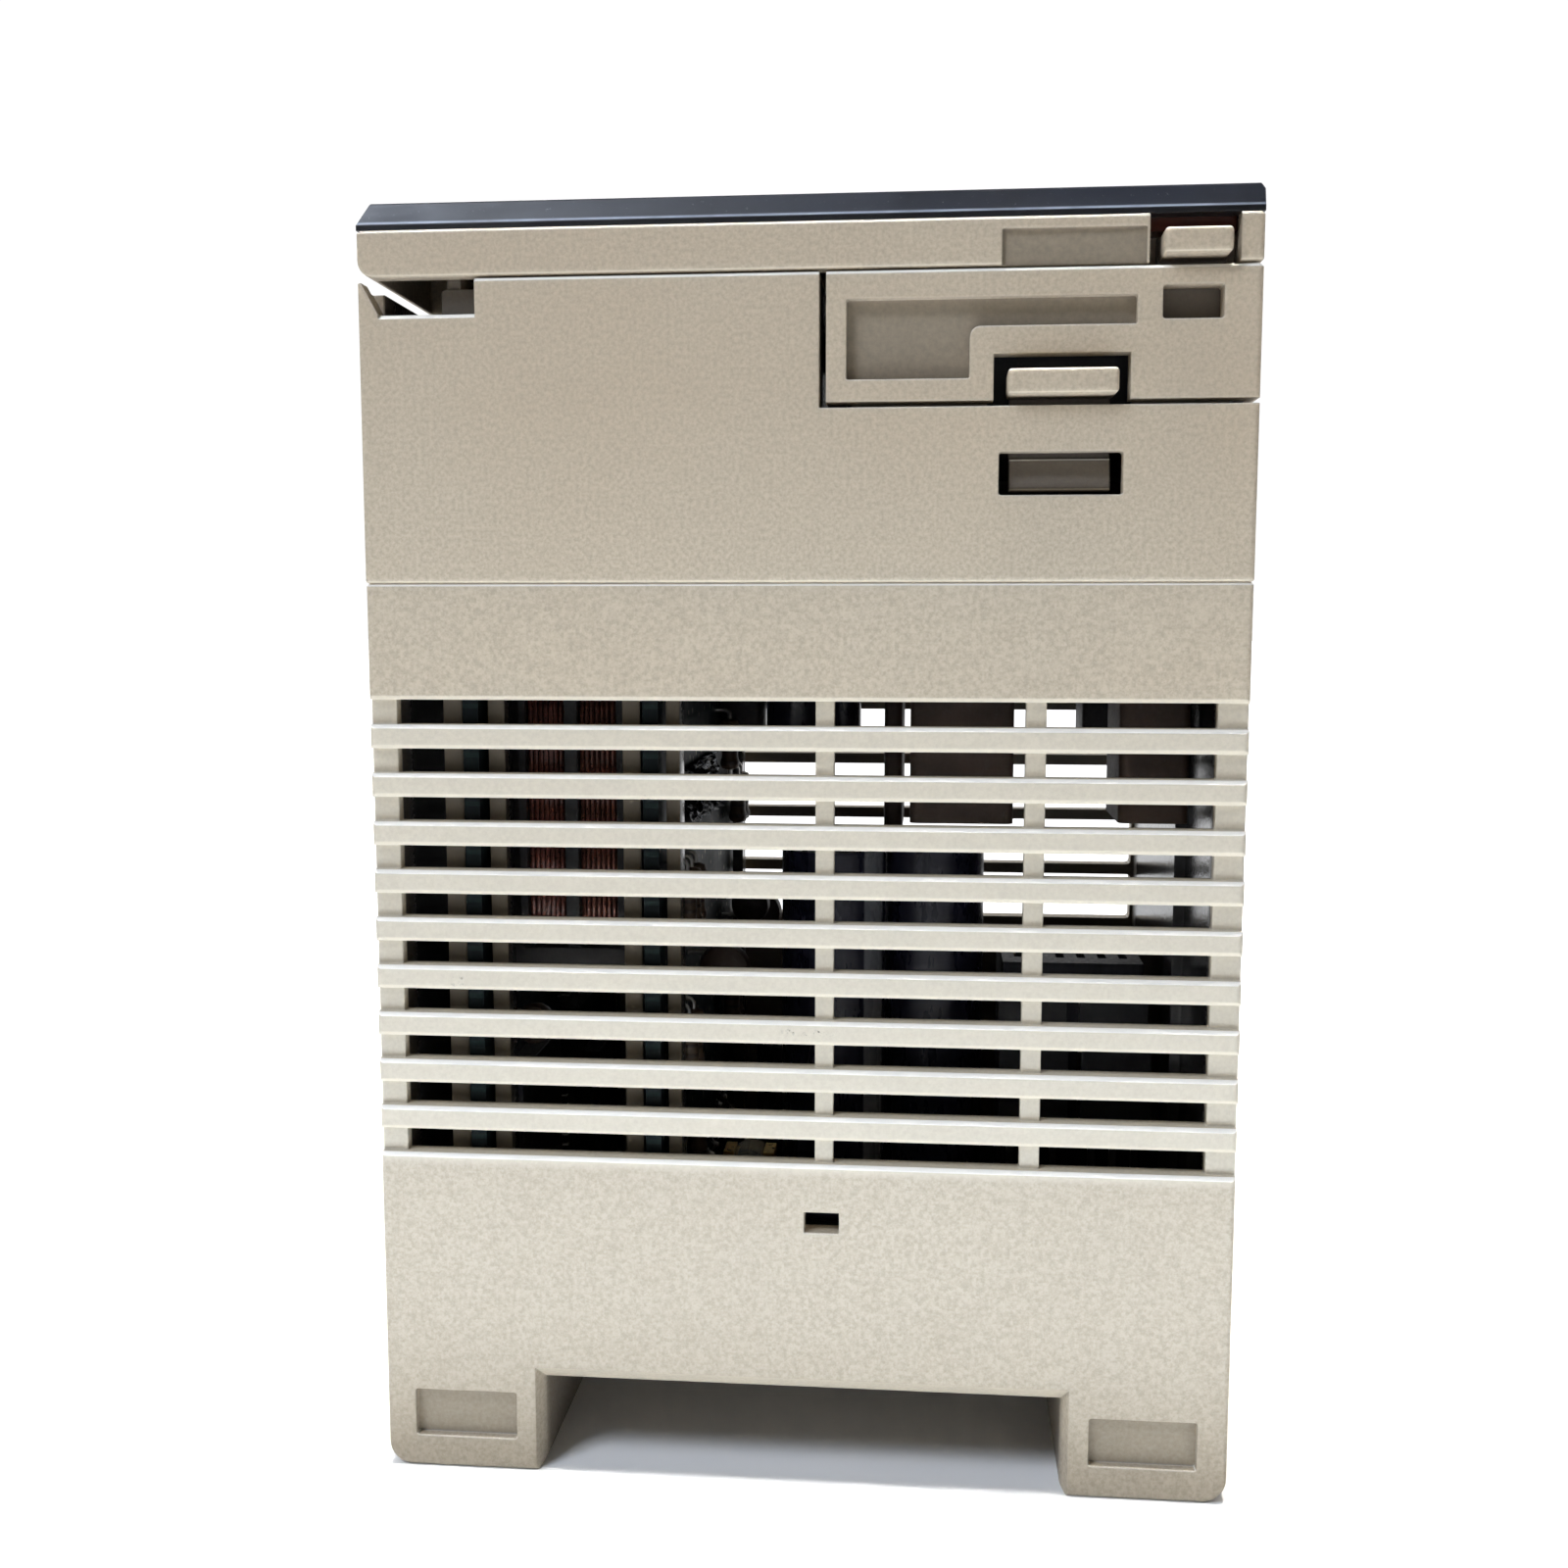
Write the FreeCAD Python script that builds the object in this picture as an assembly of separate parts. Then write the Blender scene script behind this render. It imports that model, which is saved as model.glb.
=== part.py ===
"""Controller module: a beige case on two rear feet, its hinged front door on top.

Frame: millimetres, +Z up (out of the front door), origin under the middle of the feet.
The vented sides face -Y (narrow louvres) and +Y (wide bars). The door's hinge runs along
Y at the -X end, so the door opens by lifting its +X end.
"""
import FreeCAD, Part
import math
import os

V = FreeCAD.Vector

# ---- driving dimensions -------------------------------------------------------------
CASE_HALF_WIDTH = 44.0
CASE_HALF_DEPTH = 33.8
CASE_WALL = 2.4
HOUSING_HALF_WIDTH = 44.0
HOUSING_HALF_DEPTH = 34.0
HOUSING_WALL = 2.0
EDGE_RADIUS = 0.5
TOP_EDGE_CHAMFER = 0.3
FIT_GAP = 0.3

FOOT_INNER_X = 27.2
FOOT_OUTER_RADIUS = 2.5
FOOT_INNER_RADIUS = 0.8
NOTCH_TOP = 9.7
NOTCH_FLARE_HEIGHT = 1.8
NOTCH_FLARE_SIDE = 0.7
NOTCH_FLARE_DEPTH = 2.0
FLOOR_TOP = 12.2
FOOT_FLOOR = 2.4
FOOT_POCKET = (29.95, 40.9, 3.45, 8.6)
FOOT_POCKET_DEPTH = 1.0

SEAM_Z = 93.8
HOUSING_TOP = 123.6
HINGE_SIDE_TOP = 122.6
FINGER_NOTCH = (-41.9, -32.1, 120.2)
NOTCH_TIP_X = -43.6
NOTCH_TIP_TOP = 123.35
SILL_BEVEL = 0.4
DOOR_BOTTOM = 123.85
PANEL_BOTTOM = 128.4
PANEL_TOP = 131.15

SLOT_COUNT = 10
SLOT_PITCH = 5.0
SLOT_HEIGHT = 2.55
SLOT_FIRST_Z = 34.5
SLOT_BEVEL = 0.4
POST_SETBACK = 1.0
SLOT_OPENINGS = ((-41.4, 1.63), (3.5, 22.5), (24.5, 41.1))

FAR_SLOT_COUNT = 4
FAR_SLOT_PITCH = 7.65
FAR_SLOT_HEIGHT = 6.25
FAR_SLOT_FIRST_Z = 48.4
FAR_SLOT_HALF_WIDTH = 41.2

GUIDE_SETBACK = 2.0
GUIDE_DEPTH = 5.0
GUIDE_TOP = 91.0
GUIDES = ((-37.57, -35.57), (-32.84, -31.10), (-18.66, -16.80), (-14.10, -12.70))
FAR_GUIDE = (16.2, 18.5)
FAR_GUIDE_TOP = 60.0
END_RIB = (-12.5, -6.0, 1.2)

LEDGE = (-11.0, 30.0)
CATCH_HOLE = (0.6, 4.2, 27.3, 29.5)

BOARD = 1.6
MAIN_BOARD_X = -34.2
CONVERTER_BOARD_X = -15.45
FRONT_BOARD_Z = 92.0
FILTER_BOARD_Z = 16.0
BOARD_HALF_DEPTH = 31.1

SCREW_X = 38.2
SCREW_Y = 28.2
SCREW_HEAD_R = 2.6
SCREW_SHANK_R = 1.45
BOSS_BOTTOM = 84.5

COVER_LEFT = 2.64
COVER_BOTTOM = 111.2
COVER_WALL = 2.6
COVER_ROOF = 1.8
COVER_GAP = 0.6
COVER_RECESS_DEPTH = 1.2
CABLE_SLOT = (-24.0, 24.0, 112.6, 118.0)
SHELF_TOP = COVER_BOTTOM - 0.54
SHELF_THICKNESS = 2.0
SHELF_LIP = 1.0
SHELF_LIP_HEIGHT = 1.6
SHELF_LIPS = ((5.0, 18.3), (32.3, 41.6))
PARTITION_X = COVER_LEFT - 0.67

COVER_POCKET = (18.8, 31.8, COVER_BOTTOM - 1.0, 115.6)
COVER_WINDOW = (34.65, 40.4, 118.6, 121.8)
HOUSING_WINDOW = (19.4, 31.3, 102.15, 106.3)
DOOR_POCKET = (33.3, 41.8, DOOR_BOTTOM - 1.0, PANEL_BOTTOM)
DOOR_RECESS = (19.45, 33.1, DOOR_BOTTOM - 1.0, 127.3)
DOOR_RECESS_DEPTH = 0.5

TAB_PROUD = 1.6
COVER_TAB = (20.1, 30.6, 111.6, 114.0)
DOOR_TAB = (34.5, 40.85, 124.4, 126.75)

HINGE_RADIUS = 2.2
HINGE_X = -HOUSING_HALF_WIDTH + HINGE_RADIUS
HINGE_Z = DOOR_BOTTOM + HINGE_RADIUS
HINGE_PIN_R = 0.8
HINGE_RUNNING_GAP = 0.05
LUG_RADIUS = 1.75
LUG_Y = 8.0
LUG_HALF_WIDTH = 2.4
LUG_SIDE_GAP = 0.4
PIN_HALF_LENGTH = 5.6
HINGE_BAR = 3.4
HINGE_BAR_HALF_LENGTH = 15.0
HINGE_WALL = 1.6

DOOR_WALL = 2.0
DOOR_CORNER_RADIUS = 1.7
PANEL_INSET = 0.25
FILTER_BOTTOM = 127.1
FILTER_EDGE = 0.15

DECK_TOP = 122.9
DECK_STEP_X = -36.0
DECK_STEP_WIDTH = 4.6
DECK_LOW_TOP = 119.9
DECK_LIP = 1.4
DECK_LIP_TOP = 124.5
DECK_THICKNESS = 1.6

LED_XS = (-28.0, -24.0, -20.0, -16.0, -12.0, -8.0)
LED_Y = -16.0
LED_R = 1.5
PANEL_WINDOW = (-36.0, -4.0, -22.0, -10.0)

KNOB_TRAVEL = 5.0
SWITCH_X = -24.0
SWITCH_Y = 14.0

PORT_X = -13.0
PORT_Y = 15.0

TERMINAL_COUNT = 6
TERMINAL_PITCH = 9.0

CHOKE_X = 27.0
CHOKE_Y = -19.6
CHOKE_RING_R = 6.4
FUSE_X = -8.5
FUSE_Z = FILTER_BOARD_Z + BOARD + 5.4


# ---- shape helpers ------------------------------------------------------------------
def box(x0, x1, y0, y1, z0, z1):
    return Part.makeBox(x1 - x0, y1 - y0, z1 - z0, V(x0, y0, z0))


def rod(radius, start, direction, length):
    return Part.makeCylinder(radius, length, V(*start), V(*direction))


def outline(corners, place):
    """Closed wire through (u, v, radius) corners, rounded where the radius is not 0."""
    count = len(corners)
    edges = []
    ends = []
    for i in range(count):
        u, v, r = corners[i]
        pu, pv, _ = corners[i - 1]
        nu, nv, _ = corners[(i + 1) % count]
        here = V(u, v, 0)
        back = (V(pu, pv, 0) - here).normalize()
        ahead = (V(nu, nv, 0) - here).normalize()
        if r == 0:
            ends.append((here, here, None))
            continue
        half = back.getAngle(ahead) / 2
        reach = r / math.tan(half)
        centre = here + (back + ahead).normalize() * (r / math.sin(half))
        middle = centre + (here - centre).normalize() * r
        ends.append((here + back * reach, here + ahead * reach, middle))
    for i in range(count):
        first, last, middle = ends[i]
        if middle is not None:
            edges.append(Part.Arc(place(first), place(middle), place(last)).toShape())
        after = ends[(i + 1) % count][0]
        if (after - last).Length > 1e-6:
            edges.append(Part.LineSegment(place(last), place(after)).toShape())
    return Part.Wire(edges)


def prism_y(corners, y0, y1):
    """Solid with an XZ outline, from y0 to y1."""
    wire = outline(corners, lambda p: V(p.x, y0, p.y))
    return Part.Face(wire).extrude(V(0, y1 - y0, 0))


def prism_x(corners, x0, x1):
    """Solid with a YZ outline, from x0 to x1."""
    wire = outline(corners, lambda p: V(x0, p.x, p.y))
    return Part.Face(wire).extrude(V(x1 - x0, 0, 0))


def prism_z(corners, z0, z1):
    """Solid with an XY outline, from z0 to z1."""
    wire = outline(corners, lambda p: V(p.x, p.y, z0))
    return Part.Face(wire).extrude(V(0, 0, z1 - z0))


def rectangle(u0, u1, v0, v1, r=0.0):
    return [(u0, v0, r), (u1, v0, r), (u1, v1, r), (u0, v1, r)]


def joined(shapes):
    whole = shapes[0]
    for shape in shapes[1:]:
        whole = whole.fuse(shape)
    return whole.removeSplitter()


def cut(shape, tools):
    for tool in tools:
        shape = shape.cut(tool)
    return shape.removeSplitter()


def far_twin(shape):
    """Mirror image on the +Y side."""
    return shape.mirror(V(0, 0, 0), V(0, 1, 0))


def both_sides(shape):
    return [shape, far_twin(shape)]


def round_vertical_corners(shape, half_x, half_y, radius):
    edges = []
    for edge in shape.Edges:
        a = edge.Vertexes[0].Point
        b = edge.Vertexes[-1].Point
        upright = abs(a.x - b.x) < 1e-6 and abs(a.y - b.y) < 1e-6
        at_corner = abs(abs(a.x) - half_x) < 1e-6 and abs(abs(a.y) - half_y) < 1e-6
        if upright and at_corner:
            edges.append(edge)
    return shape.makeFillet(radius, edges)


def chamfer_top_edges(shape, z, half_y):
    """Small chamfer on the long outer edges at height z, where each side face meets the top."""
    edges = []
    for edge in shape.Edges:
        bounds = edge.BoundBox
        level = abs(bounds.ZMin - z) < 1e-6 and abs(bounds.ZMax - z) < 1e-6
        outside = bounds.YLength < 1e-6 and abs(abs(bounds.YMin) - half_y) < 1e-6
        if level and outside:
            edges.append(edge)
    return shape.makeChamfer(TOP_EDGE_CHAMFER, edges)


def rounded_block(x0, x1, y0, y1, z0, z1, radius):
    block = box(x0, x1, y0, y1, z0, z1)
    return block.makeFillet(radius, block.Edges)


def export(name, shape):
    shape.exportStep("parts/" + name + ".step")


# ---- case and covers ----------------------------------------------------------------
def louvre_cuts():
    """Narrow slots in the -Y wall: a bevelled groove, then the openings between posts."""
    face = -CASE_HALF_DEPTH
    cuts = []
    for i in range(SLOT_COUNT):
        z0 = SLOT_FIRST_Z + i * SLOT_PITCH
        z1 = z0 + SLOT_HEIGHT
        outside = face - 0.5
        spread = SLOT_BEVEL + 0.5
        groove = [(outside, z0 - spread, 0), (face + SLOT_BEVEL, z0, 0),
                  (face + POST_SETBACK, z0, 0), (face + POST_SETBACK, z1, 0),
                  (face + SLOT_BEVEL, z1, 0), (outside, z1 + spread, 0)]
        cuts.append(prism_x(groove, -CASE_HALF_WIDTH - 1, CASE_HALF_WIDTH + 1))
        for x0, x1 in SLOT_OPENINGS:
            cuts.append(box(x0, x1, face, face + CASE_WALL + 0.01, z0, z1))
    return cuts


def far_slot_cuts():
    face = CASE_HALF_DEPTH
    cuts = []
    for i in range(FAR_SLOT_COUNT):
        z0 = FAR_SLOT_FIRST_Z + i * FAR_SLOT_PITCH
        slot = rectangle(-FAR_SLOT_HALF_WIDTH, FAR_SLOT_HALF_WIDTH, z0, z0 + FAR_SLOT_HEIGHT, 0.6)
        cuts.append(prism_y(slot, face - CASE_WALL - 0.01, face + 1))
    return cuts


def notch_flare():
    """Flared mouth of the channel between the feet, at the -Y face."""
    face = -CASE_HALF_DEPTH
    deep = face + NOTCH_FLARE_DEPTH
    wide = FOOT_INNER_X + NOTCH_FLARE_SIDE
    slope = prism_x([(face, -1.0, 0), (deep, -1.0, 0), (deep, NOTCH_TOP, 0),
                     (face, NOTCH_TOP + NOTCH_FLARE_HEIGHT, 0)], -wide, wide)
    sides = prism_z([(-wide, face, 0), (wide, face, 0), (FOOT_INNER_X, deep, 0), (-FOOT_INNER_X, deep, 0)],
                    -1.0, NOTCH_TOP + NOTCH_FLARE_HEIGHT)
    return slope.common(sides)


def foot_pockets():
    x0, x1, z0, z1 = FOOT_POCKET
    pockets = []
    for left, right in ((x0, x1), (-x1, -x0)):
        pocket = prism_y(rectangle(left, right, z0, z1, 0.3),
                         -CASE_HALF_DEPTH - 1, -CASE_HALF_DEPTH + FOOT_POCKET_DEPTH)
        pockets += both_sides(pocket)
    return pockets


def guide_rib(x0, x1):
    """Rib that stands clear of the louvres and joins the wall below and above them."""
    wall = -CASE_HALF_DEPTH + CASE_WALL
    rib = box(x0, x1, wall, wall + GUIDE_DEPTH, FLOOR_TOP, GUIDE_TOP)
    louvre_top = SLOT_FIRST_Z + SLOT_COUNT * SLOT_PITCH
    return rib.cut(box(x0, x1, wall, wall + GUIDE_SETBACK, SLOT_FIRST_Z - 1.5, louvre_top - 1.5))


def screw_spots():
    return [(sx * SCREW_X, sy * SCREW_Y) for sx in (-1, 1) for sy in (-1, 1)]


def board_screw_spots():
    return [(x, y) for x in (-8.6, 38.0) for y in (-27.4, 27.4)]


def lower_case():
    w = CASE_HALF_WIDTH
    d = CASE_HALF_DEPTH
    f = FOOT_INNER_X
    profile = [(-w, SEAM_Z, 0), (-w, 0, FOOT_OUTER_RADIUS), (-f, 0, FOOT_INNER_RADIUS), (-f, NOTCH_TOP, 0),
               (f, NOTCH_TOP, 0), (f, 0, FOOT_INNER_RADIUS), (w, 0, FOOT_OUTER_RADIUS), (w, SEAM_Z, 0)]
    shell = round_vertical_corners(prism_y(profile, -d, d), w, d, EDGE_RADIUS)
    shell = chamfer_top_edges(shell, SEAM_Z, d)
    inner_w = w - CASE_WALL
    inner_d = d - CASE_WALL
    cuts = [box(-inner_w, inner_w, -inner_d, inner_d, FLOOR_TOP, SEAM_Z + 1)]
    for x0, x1 in ((-inner_w, -f - CASE_WALL), (f + CASE_WALL, inner_w)):
        cuts.append(box(x0, x1, -inner_d, inner_d, FOOT_FLOOR, FLOOR_TOP))
    cuts += louvre_cuts()
    cuts += far_slot_cuts()
    cuts += both_sides(notch_flare())
    cuts += foot_pockets()
    x0, x1, z0, z1 = CATCH_HOLE
    cuts.append(box(x0, x1, -d - 1, -inner_d + 0.01, z0, z1))
    shell = cut(shell, cuts)

    adds = [shell]
    for x0, x1 in GUIDES:
        adds += both_sides(guide_rib(x0, x1))
    x0, x1 = FAR_GUIDE
    adds.append(box(x0, x1, inner_d - GUIDE_DEPTH, inner_d, FLOOR_TOP, FAR_GUIDE_TOP))
    y0, y1, thickness = END_RIB
    adds.append(box(inner_w - thickness, inner_w, y0, y1, FILTER_BOARD_Z + BOARD + 0.4, GUIDE_TOP))
    adds += both_sides(box(LEDGE[0], LEDGE[1], -inner_d, -inner_d + 2.0, FRONT_BOARD_Z - 1.4, FRONT_BOARD_Z))
    for x, y in screw_spots():
        sx = math.copysign(1, x)
        sy = math.copysign(1, y)
        xs = sorted((x - sx * 3.2, sx * inner_w))
        ys = sorted((y - sy * 3.2, sy * inner_d))
        adds.append(box(xs[0], xs[1], ys[0], ys[1], BOSS_BOTTOM, SEAM_Z))
    for x, y in board_screw_spots():
        base = FOOT_FLOOR if abs(x) > f else FLOOR_TOP
        adds.append(rod(3.0, (x, y, base), (0, 0, 1), FILTER_BOARD_Z - base))
    case = joined(adds)
    holes = [rod(SCREW_SHANK_R, (x, y, BOSS_BOTTOM + 1), (0, 0, 1), 20) for x, y in screw_spots()]
    holes += [rod(1.0, (x, y, FLOOR_TOP + 0.6), (0, 0, 1), 10) for x, y in board_screw_spots()]
    return cut(case, holes)


def finger_notch():
    """Opening under the hinge end of the door, with a sloped left side and a bevelled sill."""
    face = -HOUSING_HALF_DEPTH
    x0, x1, z0 = FINGER_NOTCH
    far_left = -HOUSING_HALF_WIDTH - 1
    profile = [(far_left, NOTCH_TIP_TOP, 0), (NOTCH_TIP_X, NOTCH_TIP_TOP, 0), (x0, z0, 0.3),
               (x1, z0, 0), (x1, HOUSING_TOP + 1, 0), (far_left, HOUSING_TOP + 1, 0)]
    opening = prism_y(profile, face - 1, face + HOUSING_WALL + 0.5)
    sill = [(face - 0.5, z0 - SILL_BEVEL - 0.5, 0), (face + SILL_BEVEL, z0, 0), (face - 0.5, z0, 0)]
    return opening.fuse(prism_x(sill, x0, x1))


def hinge_lug(y):
    """Ear on the -X wall that carries the door's pin."""
    y0 = y - LUG_HALF_WIDTH
    ear = rod(LUG_RADIUS, (HINGE_X, y0, HINGE_Z), (0, 1, 0), 2 * LUG_HALF_WIDTH)
    stem = box(HINGE_X - 1.3, HINGE_X + 1.3, y0, y0 + 2 * LUG_HALF_WIDTH, HINGE_SIDE_TOP - 4, HINGE_Z)
    return ear.fuse(stem)


def upper_housing():
    w = HOUSING_HALF_WIDTH
    d = HOUSING_HALF_DEPTH
    t = HOUSING_WALL
    profile = [(-w, SEAM_Z, 0.3), (w, SEAM_Z, 0.3), (w, SHELF_TOP, 0), (PARTITION_X, SHELF_TOP, 0),
               (PARTITION_X, HOUSING_TOP, 0), (-w, HOUSING_TOP, 0)]
    shell = round_vertical_corners(prism_y(profile, -d, d), w, d, EDGE_RADIUS)
    shell = chamfer_top_edges(shell, HOUSING_TOP, d)
    low_room = box(-w + t, w - t, -d + t, d - t, SEAM_Z - 1, SHELF_TOP - SHELF_THICKNESS)
    left_room = box(-w + t, PARTITION_X - 1.8, -d + t, d - t, SEAM_Z - 1, HOUSING_TOP + 1)
    hinge_side = box(-w - 1, -w + t + 1, -d + t, d - t, HINGE_SIDE_TOP, HOUSING_TOP + 1)
    cuts = [low_room, left_room, hinge_side]
    cuts += both_sides(finger_notch())
    x0, x1, z0, z1 = HOUSING_WINDOW
    cuts += both_sides(prism_y(rectangle(x0, x1, z0, z1, 0.3), -d - 1, -d + t + 0.01))
    cuts += both_sides(box(COVER_TAB[0] - 0.2, COVER_TAB[1] + 0.2, -d + t, -d + t + 4.0, 105, SHELF_TOP + 1))
    shell = cut(shell, cuts)

    adds = [shell]
    for x, y in screw_spots():
        sx = math.copysign(1, x)
        sy = math.copysign(1, y)
        xs = sorted((x - sx * 3.2, sx * (w - t)))
        ys = sorted((y - sy * 3.2, sy * (d - t)))
        adds.append(box(xs[0], xs[1], ys[0], ys[1], SEAM_Z, SEAM_Z + 2.4))
    adds += [hinge_lug(-LUG_Y), hinge_lug(LUG_Y)]
    lip_y = -d + COVER_WALL + FIT_GAP
    for x0, x1 in SHELF_LIPS:
        adds += both_sides(box(x0, x1, lip_y, lip_y + SHELF_LIP, SHELF_TOP, SHELF_TOP + SHELF_LIP_HEIGHT))
    housing = joined(adds)
    holes = [rod(SCREW_SHANK_R, (x, y, SEAM_Z - 1), (0, 0, 1), 5) for x, y in screw_spots()]
    holes.append(rod(HINGE_PIN_R + HINGE_RUNNING_GAP, (HINGE_X, -d, HINGE_Z), (0, 1, 0), 2 * d))
    return cut(housing, holes)


def terminal_cover():
    w = HOUSING_HALF_WIDTH
    d = HOUSING_HALF_DEPTH
    shell = round_vertical_corners(box(COVER_LEFT, w, -d, d, COVER_BOTTOM, HOUSING_TOP), w, d, EDGE_RADIUS)
    shell = chamfer_top_edges(shell, HOUSING_TOP, d)
    room = box(COVER_LEFT + 1.8, w - 1.8, -d + COVER_WALL, d - COVER_WALL,
               COVER_BOTTOM - 1, HOUSING_TOP - COVER_ROOF)
    recess = [(4.6, 113.3, 0.2), (16.5, 113.3, 0.2), (16.5, 118.2, 1.0), (32.3, 118.2, 0.2),
              (32.3, 120.95, 0.2), (4.6, 120.95, 0.2)]
    near_cuts = [prism_y(recess, -d - 1, -d + COVER_RECESS_DEPTH)]
    x0, x1, z0, z1 = COVER_POCKET
    near_cuts.append(prism_y(rectangle(x0, x1, z0, z1), -d - 1, -d + COVER_WALL + 0.01))
    x0, x1, z0, z1 = COVER_WINDOW
    near_cuts.append(prism_y(rectangle(x0, x1, z0, z1, 0.3), -d - 1, -d + COVER_WALL + 0.01))
    tongue = box(DOOR_TAB[0] - 0.8, DOOR_TAB[1] + 0.8, -d + COVER_WALL, -d + COVER_WALL + 3.2,
                 HOUSING_TOP - COVER_ROOF - 1, HOUSING_TOP + 1)
    near_cuts.append(tongue)
    y0, y1, z0, z1 = CABLE_SLOT
    cable_slot = prism_x(rectangle(y0, y1, z0, z1, 1.0), w - 2.0, w + 1)
    cuts = [room, cable_slot] + near_cuts + [far_twin(shape) for shape in near_cuts]
    return cut(shell, cuts)


def front_deck():
    inner_d = HOUSING_HALF_DEPTH - HOUSING_WALL
    left = -HOUSING_HALF_WIDTH + HOUSING_WALL
    right = PARTITION_X - 1.8
    low = DECK_LOW_TOP - DECK_THICKNESS
    step_end = DECK_STEP_X + DECK_STEP_WIDTH
    profile = [(left + 2.0, low, 0), (step_end, low, 0), (step_end, DECK_TOP - DECK_THICKNESS, 0),
               (right, DECK_TOP - DECK_THICKNESS, 0), (right, DECK_TOP, 0), (DECK_STEP_X, DECK_TOP, 0.4),
               (DECK_STEP_X, DECK_LOW_TOP, 0), (left + 2.0, DECK_LOW_TOP, 0)]
    lip_x = DECK_STEP_X + 0.5
    lip_y = inner_d - FIT_GAP
    lip = box(lip_x, lip_x + DECK_LIP, -lip_y, lip_y, DECK_TOP - DECK_THICKNESS, DECK_LIP_TOP)
    deck = prism_y(profile, -inner_d, inner_d).fuse(lip)
    holes = [rod(LED_R + 0.1, (x, LED_Y, DECK_TOP - 5), (0, 0, 1), 10) for x in LED_XS]
    holes.append(prism_z(rectangle(SWITCH_X - 2.2, SWITCH_X + 2.2, SWITCH_Y - 6.0, SWITCH_Y + 6.0, 0.5),
                         DECK_TOP - 3, DECK_TOP + 1))
    holes.append(prism_z(port_outline(0.25), DECK_TOP - 3, DECK_TOP + 1))
    return cut(deck, holes)


# ---- door -----------------------------------------------------------------------------
def pocket_rib():
    """Rib that carries the door's rim past the latch pocket."""
    x0, x1 = DOOR_POCKET[0] - 2.4, HOUSING_HALF_WIDTH - DOOR_WALL
    wall = -HOUSING_HALF_DEPTH + DOOR_WALL
    back = box(x0, x1, wall + 2.8, wall + 4.0, DOOR_BOTTOM + 0.5, FILTER_BOTTOM)
    side = box(x0, x0 + 1.2, wall, wall + 4.0, DOOR_BOTTOM + 0.5, FILTER_BOTTOM)
    return back.fuse(side)


def door_frame():
    w = HOUSING_HALF_WIDTH
    d = HOUSING_HALF_DEPTH
    profile = [(-w, DOOR_BOTTOM, DOOR_CORNER_RADIUS), (w, DOOR_BOTTOM, 0.3),
               (w, PANEL_BOTTOM, 0), (-w, PANEL_BOTTOM, 0)]
    frame = round_vertical_corners(prism_y(profile, -d, d), w, d, EDGE_RADIUS)
    frame = chamfer_top_edges(frame, PANEL_BOTTOM, d)
    solid_end = HINGE_X + HINGE_BAR
    room = box(-w + HINGE_WALL, w - DOOR_WALL, -d + DOOR_WALL, d - DOOR_WALL, DOOR_BOTTOM - 1, PANEL_BOTTOM + 1)
    hinge_bar = box(-w, solid_end, -HINGE_BAR_HALF_LENGTH, HINGE_BAR_HALF_LENGTH, DOOR_BOTTOM - 2, PANEL_BOTTOM + 2)
    cuts = [room.cut(hinge_bar)]
    for y in (-LUG_Y, LUG_Y):
        half = LUG_HALF_WIDTH + LUG_SIDE_GAP
        cuts.append(box(-w - 1, HINGE_X + LUG_RADIUS + 0.35, y - half, y + half, DOOR_BOTTOM - 1, PANEL_BOTTOM + 1))
        cuts.append(rod(HINGE_PIN_R, (HINGE_X, y - PIN_HALF_LENGTH, HINGE_Z), (0, 1, 0), 2 * PIN_HALF_LENGTH))
    x0, x1, z0, z1 = DOOR_POCKET
    cuts += both_sides(box(x0, x1, -d - 1, -d + DOOR_WALL + 0.01, z0, z1))
    x0, x1, z0, z1 = DOOR_RECESS
    cuts += both_sides(prism_y(rectangle(x0, x1, z0, z1, 0.2), -d - 1, -d + DOOR_RECESS_DEPTH))
    frame = cut(frame, cuts)
    ledge = box(solid_end, w - DOOR_WALL, -d + DOOR_WALL, -d + DOOR_WALL + 1.0, FILTER_BOTTOM - 1.2, FILTER_BOTTOM)
    keep_clear = box(DOOR_POCKET[0] - 1, DOOR_POCKET[1] + 1, -d, d, DOOR_BOTTOM, FILTER_BOTTOM + 1)
    ledge = ledge.cut(keep_clear)
    return joined([frame] + both_sides(ledge) + both_sides(pocket_rib()))


def door_window():
    x0, x1, y0, y1 = PANEL_WINDOW
    return prism_z(rectangle(x0, x1, y0, y1, 1.0), PANEL_BOTTOM - 1, PANEL_TOP + 1)


def front_panel():
    w = HOUSING_HALF_WIDTH
    d = HOUSING_HALF_DEPTH - PANEL_INSET
    lengthways = [(-w, PANEL_BOTTOM, 0), (w, PANEL_BOTTOM, 0), (w, PANEL_TOP - 0.6, 0), (w - 0.4, PANEL_TOP, 0),
                  (-w + 1.3, PANEL_TOP, 0.3), (-w, PANEL_BOTTOM + 0.5, 0)]
    across = [(-d, PANEL_BOTTOM, 0), (d, PANEL_BOTTOM, 0), (d, PANEL_BOTTOM + 0.5, 0), (d - 0.7, PANEL_TOP, 0.3),
              (-d + 0.7, PANEL_TOP, 0.3), (-d, PANEL_BOTTOM + 0.5, 0)]
    plate = prism_y(lengthways, -d, d).common(prism_x(across, -w, w))
    label = prism_z(rectangle(4.0, 38.0, -24.0, 24.0, 1.0), PANEL_TOP - 0.3, PANEL_TOP + 1)
    return cut(plate, [door_window(), label])


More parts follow.
